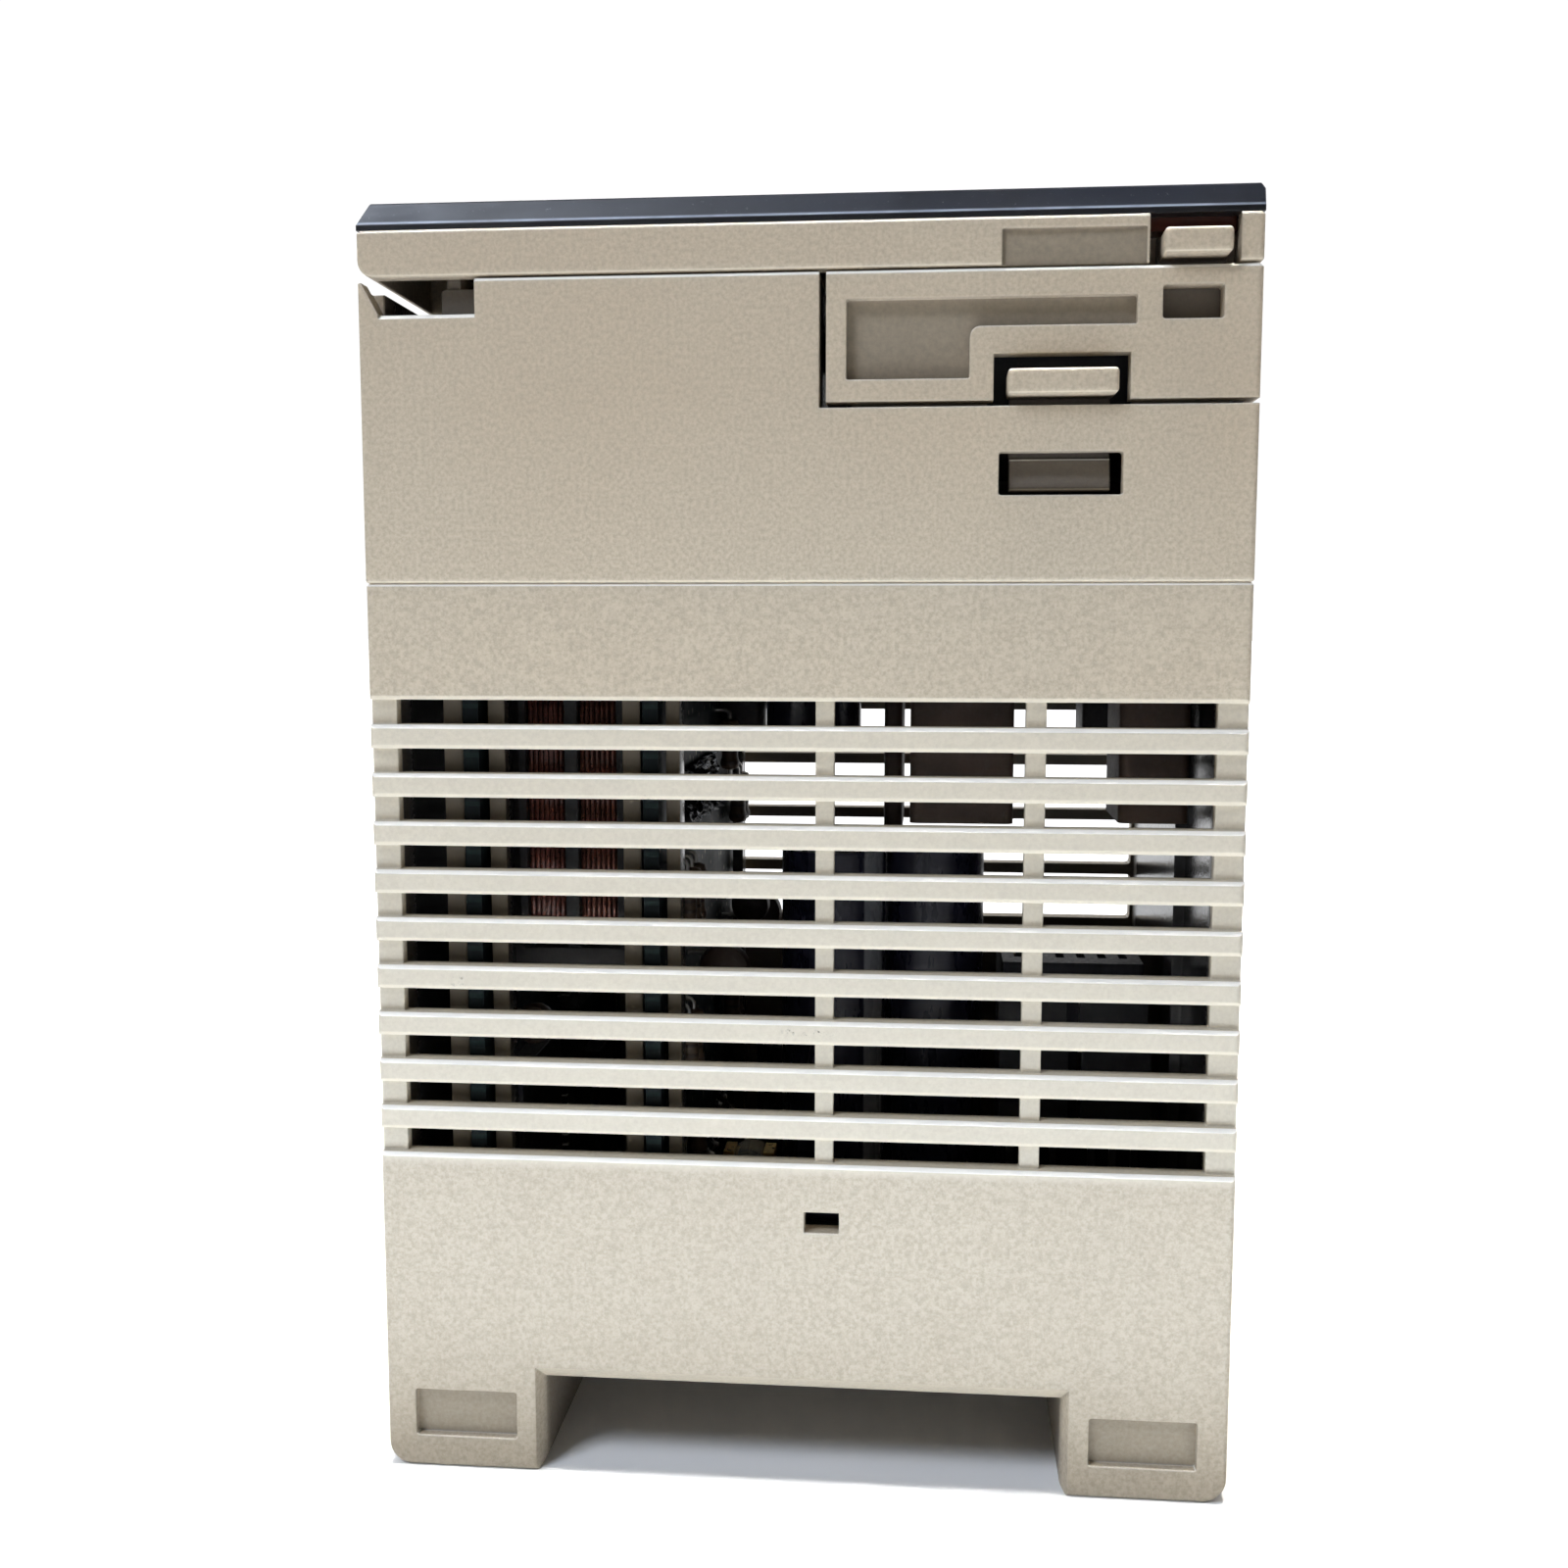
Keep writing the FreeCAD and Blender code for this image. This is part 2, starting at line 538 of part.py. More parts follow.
def lamp_filter():
    w = HOUSING_HALF_WIDTH - DOOR_WALL - FILTER_EDGE
    d = HOUSING_HALF_DEPTH - DOOR_WALL - FILTER_EDGE
    left = HINGE_X + HINGE_BAR + FILTER_EDGE
    return prism_z(rectangle(left, w, -d, d, 0.5), FILTER_BOTTOM, PANEL_BOTTOM)


def hinge_pins():
    pins = []
    for y in (-LUG_Y, LUG_Y):
        pins.append(rod(HINGE_PIN_R, (HINGE_X, y - PIN_HALF_LENGTH, HINGE_Z), (0, 1, 0), 2 * PIN_HALF_LENGTH))
    return Part.makeCompound(pins)


def snap_latch(tab, arm_y, arm_thickness, arm_inset, arm_bottom, barb=None):
    """Finger tab outside, and an arm behind the wall that ends in an optional barb."""
    x0, x1, z0, z1 = tab
    face = -HOUSING_HALF_DEPTH
    pad = rounded_block(x0, x1, face - TAB_PROUD, arm_y + 0.6, z0, z1, 0.45)
    arm_profile = [(arm_y, arm_bottom, 0.4), (arm_y + arm_thickness, arm_bottom, 0.4),
                   (arm_y + arm_thickness, z1, 0.5), (arm_y, z1, 0)]
    pieces = [pad, prism_x(arm_profile, x0 + arm_inset, x1 - arm_inset)]
    if barb:
        height, reach = barb
        lip = [(arm_y + 0.3, arm_bottom, 0.2), (arm_y + 0.3, arm_bottom + height, 0),
               (arm_y - reach + 0.7, arm_bottom + height, 0.5), (arm_y - reach, arm_bottom + 0.8, 0.5),
               (arm_y - reach, arm_bottom, 0.5)]
        pieces.append(prism_x(lip, x0 + arm_inset, x1 - arm_inset))
    return joined(pieces)


def door_latch():
    return snap_latch(DOOR_TAB, -HOUSING_HALF_DEPTH + COVER_WALL + 0.3, 1.2, -0.1, 118.1)


def cover_latch():
    return snap_latch(COVER_TAB, -HOUSING_HALF_DEPTH + COVER_WALL + 0.4, 1.3, 0.4, 102.65, barb=(3.2, 1.4))


# ---- under the door ---------------------------------------------------------------------
def port_outline(grow):
    """D-shaped outline of the service port."""
    long_half = 8.4 + grow
    short_half = 7.2 + grow
    half = 4.1 + grow
    return [(PORT_X - half, PORT_Y - long_half, 1.2), (PORT_X + half, PORT_Y - short_half, 1.2),
            (PORT_X + half, PORT_Y + short_half, 1.2), (PORT_X - half, PORT_Y + long_half, 1.2)]


def service_port():
    outer = prism_z(port_outline(0.0), DECK_TOP - 9.0, DECK_TOP + 1.6)
    inner = prism_z(port_outline(-0.6), DECK_TOP - 4.0, DECK_TOP + 3)
    return cut(outer, [inner])


def service_port_pins():
    pins = []
    for row, count in ((-1.4, 5), (1.4, 4)):
        for i in range(count):
            y = PORT_Y + (i - (count - 1) / 2) * 2.7
            pins.append(rod(0.5, (PORT_X + row, y, DECK_TOP - 4.0), (0, 0, 1), 4.6))
    return Part.makeCompound(pins)


def mode_switch_body():
    top = DECK_TOP - DECK_THICKNESS
    body = box(SWITCH_X - 4.0, SWITCH_X + 4.0, SWITCH_Y - 8.0, SWITCH_Y + 8.0, top - 7.0, top)
    slot = box(SWITCH_X - 1.6, SWITCH_X + 1.6, SWITCH_Y - 5.6, SWITCH_Y + 5.6, top - 4.0, top + 1)
    return cut(body, [slot])


def mode_switch_knob():
    top = DECK_TOP - DECK_THICKNESS
    y0 = SWITCH_Y - 4.6
    stem = box(SWITCH_X - 1.2, SWITCH_X + 1.2, y0, y0 + 3.6, top - 3.6, DECK_TOP + 1)
    cap = rounded_block(SWITCH_X - 1.5, SWITCH_X + 1.5, y0 - 0.3, y0 + 3.9, DECK_TOP + 0.3, DECK_TOP + 2.2, 0.4)
    grooves = [box(SWITCH_X - 2, SWITCH_X + 2, y0 + 0.6 + i * 0.9, y0 + 0.9 + i * 0.9, DECK_TOP + 1.9, DECK_TOP + 3)
               for i in range(3)]
    return cut(stem.fuse(cap), grooves)


def status_leds():
    base = FRONT_BOARD_Z + BOARD
    leds = []
    for x in LED_XS:
        body = rod(LED_R, (x, LED_Y, base), (0, 0, 1), 2.4)
        rim = rod(LED_R + 0.3, (x, LED_Y, base), (0, 0, 1), 0.8)
        leds.append(body.fuse(rim))
    return Part.makeCompound(leds)


def light_pipes():
    base = FRONT_BOARD_Z + BOARD + 2.6
    pipes = []
    for x in LED_XS:
        pipe = rod(LED_R, (x, LED_Y, base), (0, 0, 1), DECK_TOP + 1.2 - base)
        top = [edge for edge in pipe.Edges if edge.BoundBox.ZMin > DECK_TOP + 1.0]
        pipes.append(pipe.makeFillet(0.5, top))
    return Part.makeCompound(pipes)


def terminal_block():
    base = box(8.0, 38.0, -27.6, 27.6, SHELF_TOP, SHELF_TOP + 4.6)
    barriers = [base]
    for i in range(TERMINAL_COUNT + 1):
        y = -27.6 + i * TERMINAL_PITCH
        barriers.append(box(8.0, 38.0, y, y + 1.2, SHELF_TOP, SHELF_TOP + 8.4))
    spine = box(21.6, 24.4, -27.6, 27.6, SHELF_TOP, SHELF_TOP + 8.4)
    return joined(barriers + [spine])


def terminal_screws():
    screws = []
    for i in range(TERMINAL_COUNT):
        y = -27.6 + 0.6 + (i + 0.5) * TERMINAL_PITCH
        for x in (14.8, 31.2):
            head = rod(2.9, (x, y, SHELF_TOP + 5.2), (0, 0, 1), 1.8)
            plate = box(x - 4.5, x + 4.5, y - 3.6, y + 3.6, SHELF_TOP + 4.6, SHELF_TOP + 5.2)
            slot = box(x - 3.2, x + 3.2, y - 0.4, y + 0.4, SHELF_TOP + 6.2, SHELF_TOP + 8)
            screws.append(cut(head.fuse(plate), [slot]))
    return Part.makeCompound(screws)


# ---- boards and what they carry -------------------------------------------------------------
def standing_board(x):
    return box(x - BOARD / 2, x + BOARD / 2, -BOARD_HALF_DEPTH, BOARD_HALF_DEPTH, FLOOR_TOP + 0.3, GUIDE_TOP)


def front_board():
    edge = CASE_HALF_WIDTH - CASE_WALL - 0.4
    board = box(-edge, edge, -BOARD_HALF_DEPTH, BOARD_HALF_DEPTH, FRONT_BOARD_Z, FRONT_BOARD_Z + BOARD)
    return cut(board, [corner_clearance(x, y) for x, y in screw_spots()])


def corner_clearance(x, y):
    sx = math.copysign(1, x)
    sy = math.copysign(1, y)
    xs = sorted((x - sx * 3.6, x + sx * 6))
    ys = sorted((y - sy * 3.6, y + sy * 6))
    return box(xs[0], xs[1], ys[0], ys[1], FRONT_BOARD_Z - 1, FRONT_BOARD_Z + 3)


def filter_board():
    board = box(-11.9, 41.0, -BOARD_HALF_DEPTH, BOARD_HALF_DEPTH, FILTER_BOARD_Z, FILTER_BOARD_Z + BOARD)
    holes = [rod(1.2, (x, y, FILTER_BOARD_Z - 1), (0, 0, 1), 4) for x, y in board_screw_spots()]
    x0, x1 = FAR_GUIDE
    guide_y = CASE_HALF_DEPTH - CASE_WALL - GUIDE_DEPTH
    holes.append(box(x0 - 0.3, x1 + 0.3, guide_y - 0.3, CASE_HALF_DEPTH, FILTER_BOARD_Z - 1, FILTER_BOARD_Z + 3))
    return cut(board, holes)


def transformer():
    """Core, bobbin and two windings around an axis along X, between the standing boards."""
    y0, y1 = -26.0, -5.4
    z0, z1 = 54.6, 84.6
    x_left, x_right = -32.4, -17.4
    plate = 1.8
    leg = 3.4
    ym = (y0 + y1) / 2
    zm = (z0 + z1) / 2
    core = joined([
        box(x_left, x_left + plate, y0 + 2, y1 - 2, z0 - leg, z1 + leg),
        box(x_right - plate, x_right, y0 + 2, y1 - 2, z0 - leg, z1 + leg),
        box(x_left, x_right, y0 + 2, y1 - 2, z1, z1 + leg),
        box(x_left, x_right, y0 + 2, y1 - 2, z0 - leg, z0),
        rod(5.0, (x_left, ym, zm), (1, 0, 0), x_right - x_left)])
    left = x_left + plate
    right = x_right - plate
    flange = 0.8
    middle = (left + right) / 2
    half_gap = 0.7
    flange_face = rectangle(y0, y1, z0 + 0.1, z1 - 0.1, 2.0)
    tube_hole = rod(5.0, (left, ym, zm), (1, 0, 0), right - left)
    bobbin = joined([
        prism_x(flange_face, left, left + flange),
        prism_x(flange_face, right - flange, right),
        prism_x(flange_face, middle - half_gap, middle + half_gap),
        rod(6.0, (left, ym, zm), (1, 0, 0), right - left)]).cut(tube_hole)
    turn = rectangle(y0 + 0.8, y1 - 0.8, z0 + 0.9, z1 - 0.9, 3.0)
    hub = rod(6.0, (left, ym, zm), (1, 0, 0), right - left)
    primary = prism_x(turn, left + flange, middle - half_gap).cut(hub)
    secondary = prism_x(turn, middle + half_gap, right - flange).cut(hub)
    feet = []
    for y in (y0 + 3.0, y1 - 3.0):
        for z in (z0 + 5.0, z1 - 5.0):
            feet.append(box(x_right, CONVERTER_BOARD_X - BOARD / 2, y - 1.0, y + 1.0, z - 1.0, z + 1.0))
    core = joined([core] + feet)
    return core, bobbin, primary, secondary


def choke():
    centre = V(CHOKE_X, CHOKE_Y, FILTER_BOARD_Z + BOARD + 3.2)
    ring = Part.makeTorus(CHOKE_RING_R, 2.4, centre, V(0, 0, 1))
    turns = []
    for i in range(10):
        angle = math.radians(36 * i)
        spot = centre + V(CHOKE_RING_R * math.cos(angle), CHOKE_RING_R * math.sin(angle), 0)
        along = V(-math.sin(angle), math.cos(angle), 0)
        tube = Part.makeCylinder(3.2, 1.8, spot - along * 0.9, along)
        turns.append(tube.cut(ring))
    return ring, Part.makeCompound(turns)


def can_capacitor(x, y, base, radius, height):
    can = rod(radius, (x, y, base), (0, 0, 1), height)
    rims = [edge for edge in can.Edges if edge.BoundBox.ZLength < 1e-3]
    can = can.makeFillet(0.7, rims)
    collar = Part.makeTorus(radius + 0.25, 0.7, V(x, y, base + 3.4), V(0, 0, 1))
    score_half = radius * 0.6
    score_z = base + height - 0.3
    score = box(x - score_half, x + score_half, y - 0.2, y + 0.2, score_z, score_z + 1)
    score_across = box(x - 0.2, x + 0.2, y - score_half, y + score_half, score_z, score_z + 1)
    return cut(can, [collar, score, score_across])


def bulk_capacitors():
    base = FILTER_BOARD_Z + BOARD
    return Part.makeCompound([can_capacitor(x, y, base, 6.3, 45.5) for x, y in ((1.6, 0.0), (13.6, 4.8))])


def output_capacitors():
    base = FILTER_BOARD_Z + BOARD
    return Part.makeCompound([can_capacitor(x, 19.0, base, 4.0, 16.0) for x in (-6.0, 3.0, 12.0)])


def heat_sink():
    base = FILTER_BOARD_Z + BOARD
    pieces = [box(22.0, 38.5, -4.0, -1.0, base, base + 32.0)]
    for i in range(7):
        x = 22.0 + i * 2.5
        pieces.append(box(x, x + 1.5, -1.0, 14.0, base, base + 32.0))
    return joined(pieces)


def power_transistors():
    parts = []
    for x in (25.5, 35.0):
        z = FILTER_BOARD_Z + BOARD + 14.0
        body = box(x - 4.0, x + 4.0, -8.4, -4.9, z, z + 9.0)
        tab = box(x - 4.0, x + 4.0, -4.9, -4.0, z, z + 14.0)
        pieces = [body, tab]
        for offset in (-2.5, 0.0, 2.5):
            pieces.append(box(x + offset - 0.4, x + offset + 0.4, -6.8, -6.2, FILTER_BOARD_Z + BOARD, z))
        parts.append(joined(pieces))
    return Part.makeCompound(parts)


def fuse():
    glass = rod(2.3, (FUSE_X, -15.0, FUSE_Z), (0, 1, 0), 10.0)
    caps = [rod(2.6, (FUSE_X, y, FUSE_Z), (0, 1, 0), 5.0) for y in (-20.0, -5.0)]
    return joined([glass] + caps)


def fuse_clips():
    clips = []
    for y in (-19.4, -4.4):
        block = box(FUSE_X - 3.1, FUSE_X + 3.1, y, y + 3.8, FILTER_BOARD_Z + BOARD, FUSE_Z + 2.4)
        hollow = rod(2.65, (FUSE_X, y - 1, FUSE_Z), (0, 1, 0), 6)
        mouth = box(FUSE_X - 1.8, FUSE_X + 1.8, y - 1, y + 5, FUSE_Z, FUSE_Z + 5)
        under = box(FUSE_X - 2.5, FUSE_X + 2.5, y - 1, y + 5, FILTER_BOARD_Z + BOARD + 0.6, FUSE_Z - 3.2)
        clips.append(cut(block, [hollow, mouth, under]))
    return Part.makeCompound(clips)


def hanging_block(x0, x1, y0, y1, z0, radius):
    return prism_z(rectangle(x0, x1, y0, y1, radius), z0, FRONT_BOARD_Z)


def relays():
    blocks = [hanging_block(10.95, 22.06, -20.0, 6.0, 68.2, 0.8),
              hanging_block(32.7, 39.9, -24.4, -12.0, 69.0, 0.8)]
    return Part.makeCompound(blocks)


def film_capacitor():
    return hanging_block(7.4, 9.7, 8.0, 28.0, 63.5, 0.8)


def board_headers():
    rows = []
    for x in (MAIN_BOARD_X + BOARD / 2, CONVERTER_BOARD_X + BOARD / 2):
        block = box(x, x + 5.0, 0.0, 26.0, 84.0, FRONT_BOARD_Z)
        rows.append(block)
    return Part.makeCompound(rows)


def processor_chips():
    face = MAIN_BOARD_X + BOARD / 2
    chips = []
    for y, z, half_y, half_z in ((-16.0, 32.0, 9.0, 9.0), (6.0, 24.0, 5.0, 8.0), (20.0, 24.0, 5.0, 8.0),
                                 (10.0, 46.0, 7.0, 5.0)):
        chips.append(box(face, face + 2.4, y - half_y, y + half_y, z - half_z, z + half_z))
    return Part.makeCompound(chips)


def battery_holder():
    base = FRONT_BOARD_Z + BOARD
    block = prism_z(rectangle(-24.0, -2.0, 2.0, 24.0, 3.0), base, base + 4.6)
    seat = rod(10.1, (-13.0, 13.0, base + 1.0), (0, 0, 1), 5)
    return cut(block, [seat])


def coin_battery():
    base = FRONT_BOARD_Z + BOARD + 1.0
    cell = rod(10.0, (-13.0, 13.0, base), (0, 0, 1), 3.2)
    rims = [edge for edge in cell.Edges if edge.BoundBox.ZLength < 1e-3]
    return cell.makeFillet(0.5, rims)


def pan_screw(x, y, seat, head_r, shank_r, length):
    head = rod(head_r, (x, y, seat), (0, 0, 1), 1.8)
    rim = [edge for edge in head.Edges if edge.BoundBox.ZMin > seat + 1.7]
    head = head.makeFillet(0.6, rim)
    shank = rod(shank_r, (x, y, seat - length), (0, 0, 1), length)
    cross = [box(x - 1.4, x + 1.4, y - 0.3, y + 0.3, seat + 0.9, seat + 3),
             box(x - 0.3, x + 0.3, y - 1.4, y + 1.4, seat + 0.9, seat + 3)]
    return cut(head.fuse(shank), cross)


def case_screws():
    screws = [pan_screw(x, y, SEAM_Z + 2.4, SCREW_HEAD_R, SCREW_SHANK_R - 0.05, 8.0) for x, y in screw_spots()]
    return Part.makeCompound(screws)


def board_screws():
    seat = FILTER_BOARD_Z + BOARD
    return Part.makeCompound([pan_screw(x, y, seat, 2.2, 0.95, 4.6) for x, y in board_screw_spots()])


# ---- build ----------------------------------------------------------------------------------
os.makedirs("parts", exist_ok=True)

export("lower_case", lower_case())
export("upper_housing", upper_housing())
export("terminal_cover", terminal_cover())
export("front_deck", front_deck())
export("door_frame", door_frame())
export("front_panel", front_panel())
export("lamp_filter", lamp_filter())
export("hinge_pins", hinge_pins())
export("door_latch_near", door_latch())
export("door_latch_far", far_twin(door_latch()))
export("cover_latch_near", cover_latch())
export("cover_latch_far", far_twin(cover_latch()))
export("service_port", service_port())
export("service_port_pins", service_port_pins())
export("mode_switch_body", mode_switch_body())
export("mode_switch_knob", mode_switch_knob())
export("status_leds", status_leds())
export("light_pipes", light_pipes())
export("terminal_block", terminal_block())
export("terminal_screws", terminal_screws())
export("main_board", standing_board(MAIN_BOARD_X))
export("converter_board", standing_board(CONVERTER_BOARD_X))
export("front_board", front_board())
export("filter_board", filter_board())
for name, shape in zip(("transformer_core", "transformer_bobbin", "primary_winding", "secondary_winding"),
                       transformer()):
    export(name, shape)
for name, shape in zip(("choke_core", "choke_winding"), choke()):
    export(name, shape)
export("bulk_capacitors", bulk_capacitors())
export("output_capacitors", output_capacitors())
export("heat_sink", heat_sink())
export("power_transistors", power_transistors())
export("fuse", fuse())
export("fuse_clips", fuse_clips())
export("relays", relays())
export("film_capacitor", film_capacitor())
export("board_headers", board_headers())
export("processor_chips", processor_chips())
export("battery_holder", battery_holder())
export("coin_battery", coin_battery())
export("case_screws", case_screws())
export("board_screws", board_screws())
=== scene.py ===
"""Looks of the controller module: materials, wire turns and small parts, stage and camera."""
import bpy
import bmesh
import math
import random
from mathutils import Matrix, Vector


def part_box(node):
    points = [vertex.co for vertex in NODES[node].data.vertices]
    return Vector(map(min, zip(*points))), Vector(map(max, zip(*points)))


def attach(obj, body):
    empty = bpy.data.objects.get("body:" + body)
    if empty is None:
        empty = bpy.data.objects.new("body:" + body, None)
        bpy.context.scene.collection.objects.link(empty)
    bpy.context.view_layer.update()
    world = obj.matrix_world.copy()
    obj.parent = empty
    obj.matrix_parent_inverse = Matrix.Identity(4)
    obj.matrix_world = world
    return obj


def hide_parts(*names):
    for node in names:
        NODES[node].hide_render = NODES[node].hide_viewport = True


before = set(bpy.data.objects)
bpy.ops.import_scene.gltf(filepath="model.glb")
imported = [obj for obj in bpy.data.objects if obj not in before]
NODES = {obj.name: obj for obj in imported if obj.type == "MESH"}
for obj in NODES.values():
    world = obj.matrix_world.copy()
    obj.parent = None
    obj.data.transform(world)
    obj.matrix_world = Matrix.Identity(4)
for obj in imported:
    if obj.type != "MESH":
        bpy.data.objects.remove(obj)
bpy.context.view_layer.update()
MM = 0.001

# ---- colours (linear) -----------------------------------------------------------------
# The beige is matched by height to how the lit plastic should look, not to one measured colour: painted shade
# makes the top darker and warmer, the middle is lightest and the low part more neutral.
BEIGE_TOP_SHADED = (0.500, 0.408, 0.292)
BEIGE_MIDDLE = (0.560, 0.472, 0.345)
BEIGE_LOW = (0.515, 0.448, 0.340)
BEIGE_PALE = (0.560, 0.490, 0.370)
# The next nine colours are painted light and shade: a painted highlight, paler bars, and painted shade in
# recesses, on rib faces, in the channel, inside, on the deck and on the latch arms.
PAINTED_HIGHLIGHT_COLOUR = (0.95, 0.92, 0.85)
BAR_PAINTED_LIGHT = (0.68, 0.61, 0.48)
RECESS_PAINTED_SHADE = (0.185, 0.150, 0.105)
RIB_FACE_PAINTED_SHADE = (0.26, 0.215, 0.155)
CHANNEL_PAINTED_SHADE = (0.12, 0.10, 0.08)
INSIDE_PAINTED_SHADE = (0.075, 0.062, 0.048)
DEEP_PAINTED_SHADE = (0.022, 0.021, 0.022)
DECK_PAINTED_SHADE = (0.050, 0.040, 0.030)
LATCH_ARM_PAINTED_SHADE = (0.10, 0.082, 0.064)
DIRT_TINT = (0.10, 0.08, 0.06)
GREY = (0.28, 0.28, 0.28)
GREY_PALE = (0.34, 0.34, 0.34)
BLACK = (0.012, 0.013, 0.017)

# ---- places on the mouldings (mm) ---------------------------------------------------------
LOW_BEIGE_BELOW = 60.0
MIDDLE_BEIGE_FROM = 84.0
MIDDLE_BEIGE_TO = 94.0
TOP_BEIGE_ABOVE = 112.0
BARS_BOTTOM = 34.0
BARS_TOP = 81.8
BARS_BACK = -31.5
CHANNEL_TOP = 9.7
CHANNEL_HALF_X = 27.4
CHANNEL_MOUTH_Y = 33.0
CHANNEL_DARK_Y = 30.0
PLATE_LIP_TOP = 128.95
POLISHED_ROUGHNESS = 0.14

# Dust marks on the near face: x, z, half width, half height.
DIRT_SPOTS = ((15.6, 51.9, 2.8, 0.6), (1.0, 48.4, 3.4, 0.5), (-15.4, 71.9, 0.7, 0.7),
              (-35.4, 53.0, 0.8, 0.9), (-21.6, 49.0, 0.5, 0.7))


# ---- material helper --------------------------------------------------------------------
class Surface:
    """A node material with one Principled shader and short ways to add nodes."""

    def __init__(self, name):
        self.material = bpy.data.materials.new(name)
        self.material.use_nodes = True
        self.tree = self.material.node_tree
        self.shader = self.tree.nodes["Principled BSDF"]
        self.place = self.node("ShaderNodeTexCoord").outputs["Object"]

    def node(self, kind, **settings):
        made = self.tree.nodes.new(kind)
        for key, value in settings.items():
            setattr(made, key, value)
        return made

    def wire(self, source, target):
        if isinstance(source, bpy.types.NodeSocket):
            self.tree.links.new(source, target)
        else:
            target.default_value = source

    def noise(self, size_mm, detail=3.0, rough=0.5, stretch=None):
        """Noise whose features are about size_mm across, from 0 to 1."""
        place = self.place
        if stretch:
            mapping = self.node("ShaderNodeMapping")
            mapping.inputs["Scale"].default_value = stretch
            self.wire(place, mapping.inputs["Vector"])
            place = mapping.outputs["Vector"]
        made = self.node("ShaderNodeTexNoise")
        made.inputs["Scale"].default_value = 1.0 / (size_mm * MM)
        made.inputs["Detail"].default_value = detail
        made.inputs["Roughness"].default_value = rough
        self.wire(place, made.inputs["Vector"])
        return made.outputs["Fac"]

    def math(self, operation, a, b=0.0, clamp=False):
        made = self.node("ShaderNodeMath", operation=operation, use_clamp=clamp)
        self.wire(a, made.inputs[0])
        self.wire(b, made.inputs[1])
        return made.outputs[0]

    def ramp(self, value, low, high, out_low=0.0, out_high=1.0):
        """Value stretched so that low..high becomes out_low..out_high, clamped."""
        made = self.node("ShaderNodeMapRange")
        self.wire(value, made.inputs["Value"])
        for key, number in (("From Min", low), ("From Max", high), ("To Min", out_low), ("To Max", out_high)):
            made.inputs[key].default_value = number
        return made.outputs["Result"]

    def mix(self, amount, a, b):
        made = self.node("ShaderNodeMix", data_type="RGBA")
        self.wire(amount, made.inputs[0])
        for value, socket in ((a, made.inputs[6]), (b, made.inputs[7])):
            self.wire(value if isinstance(value, bpy.types.NodeSocket) else (*value[:3], 1.0), socket)
        return made.outputs[2]

    def axis(self, index):
        """Place along X, Y or Z, in metres."""
        made = self.node("ShaderNodeSeparateXYZ")
        self.wire(self.place, made.inputs[0])
        return made.outputs[index]

    def face_normal(self, index):
        """X, Y or Z part of the flat face's normal."""
        made = self.node("ShaderNodeSeparateXYZ")
        self.wire(self.node("ShaderNodeNewGeometry").outputs["True Normal"], made.inputs[0])
        return made.outputs[index]

    def edge_mask(self, radius_mm, strength):
        """Nearness to a sharp edge, 0 on flat faces, and how far a rounded edge would face up there."""
        bevel = self.node("ShaderNodeBevel", samples=4)
        bevel.inputs["Radius"].default_value = radius_mm * MM
        flat = self.node("ShaderNodeNewGeometry")
        dot = self.node("ShaderNodeVectorMath", operation="DOT_PRODUCT")
        self.wire(bevel.outputs["Normal"], dot.inputs[0])
        self.wire(flat.outputs["Normal"], dot.inputs[1])
        parts = self.node("ShaderNodeSeparateXYZ")
        self.wire(bevel.outputs["Normal"], parts.inputs[0])
        return self.ramp(dot.outputs["Value"], 1.0, 1.0 - 1.0 / strength), parts.outputs[2]

    def bump(self, height, depth_mm, strength=1.0, rounded_mm=0.0):
        made = self.node("ShaderNodeBump")
        made.inputs["Distance"].default_value = depth_mm * MM
        made.inputs["Strength"].default_value = strength
        self.wire(height, made.inputs["Height"])
        if rounded_mm:
            bevel = self.node("ShaderNodeBevel", samples=4)
            bevel.inputs["Radius"].default_value = rounded_mm * MM
            self.wire(bevel.outputs["Normal"], made.inputs["Normal"])
        self.wire(made.outputs["Normal"], self.shader.inputs["Normal"])

    def set(self, **values):
        for key, value in values.items():
            self.wire(value, self.shader.inputs[key.replace("_", " ")])
        return self.material


def plain_finish(s, base):
    """Nothing beyond the plain moulding: base colour unchanged, no polish and no painted shade."""
    return base, 0.0


def beige_by_height(s):
    """Base beige: low, middle and top colours blended by height, with painted shade darkening and warming the
    top.
    """
    z = s.axis(2)
    base = s.mix(s.ramp(z, MIDDLE_BEIGE_FROM * MM, LOW_BEIGE_BELOW * MM), BEIGE_MIDDLE, BEIGE_LOW)
    return s.mix(s.ramp(z, MIDDLE_BEIGE_TO * MM, TOP_BEIGE_ABOVE * MM), base, BEIGE_TOP_SHADED)


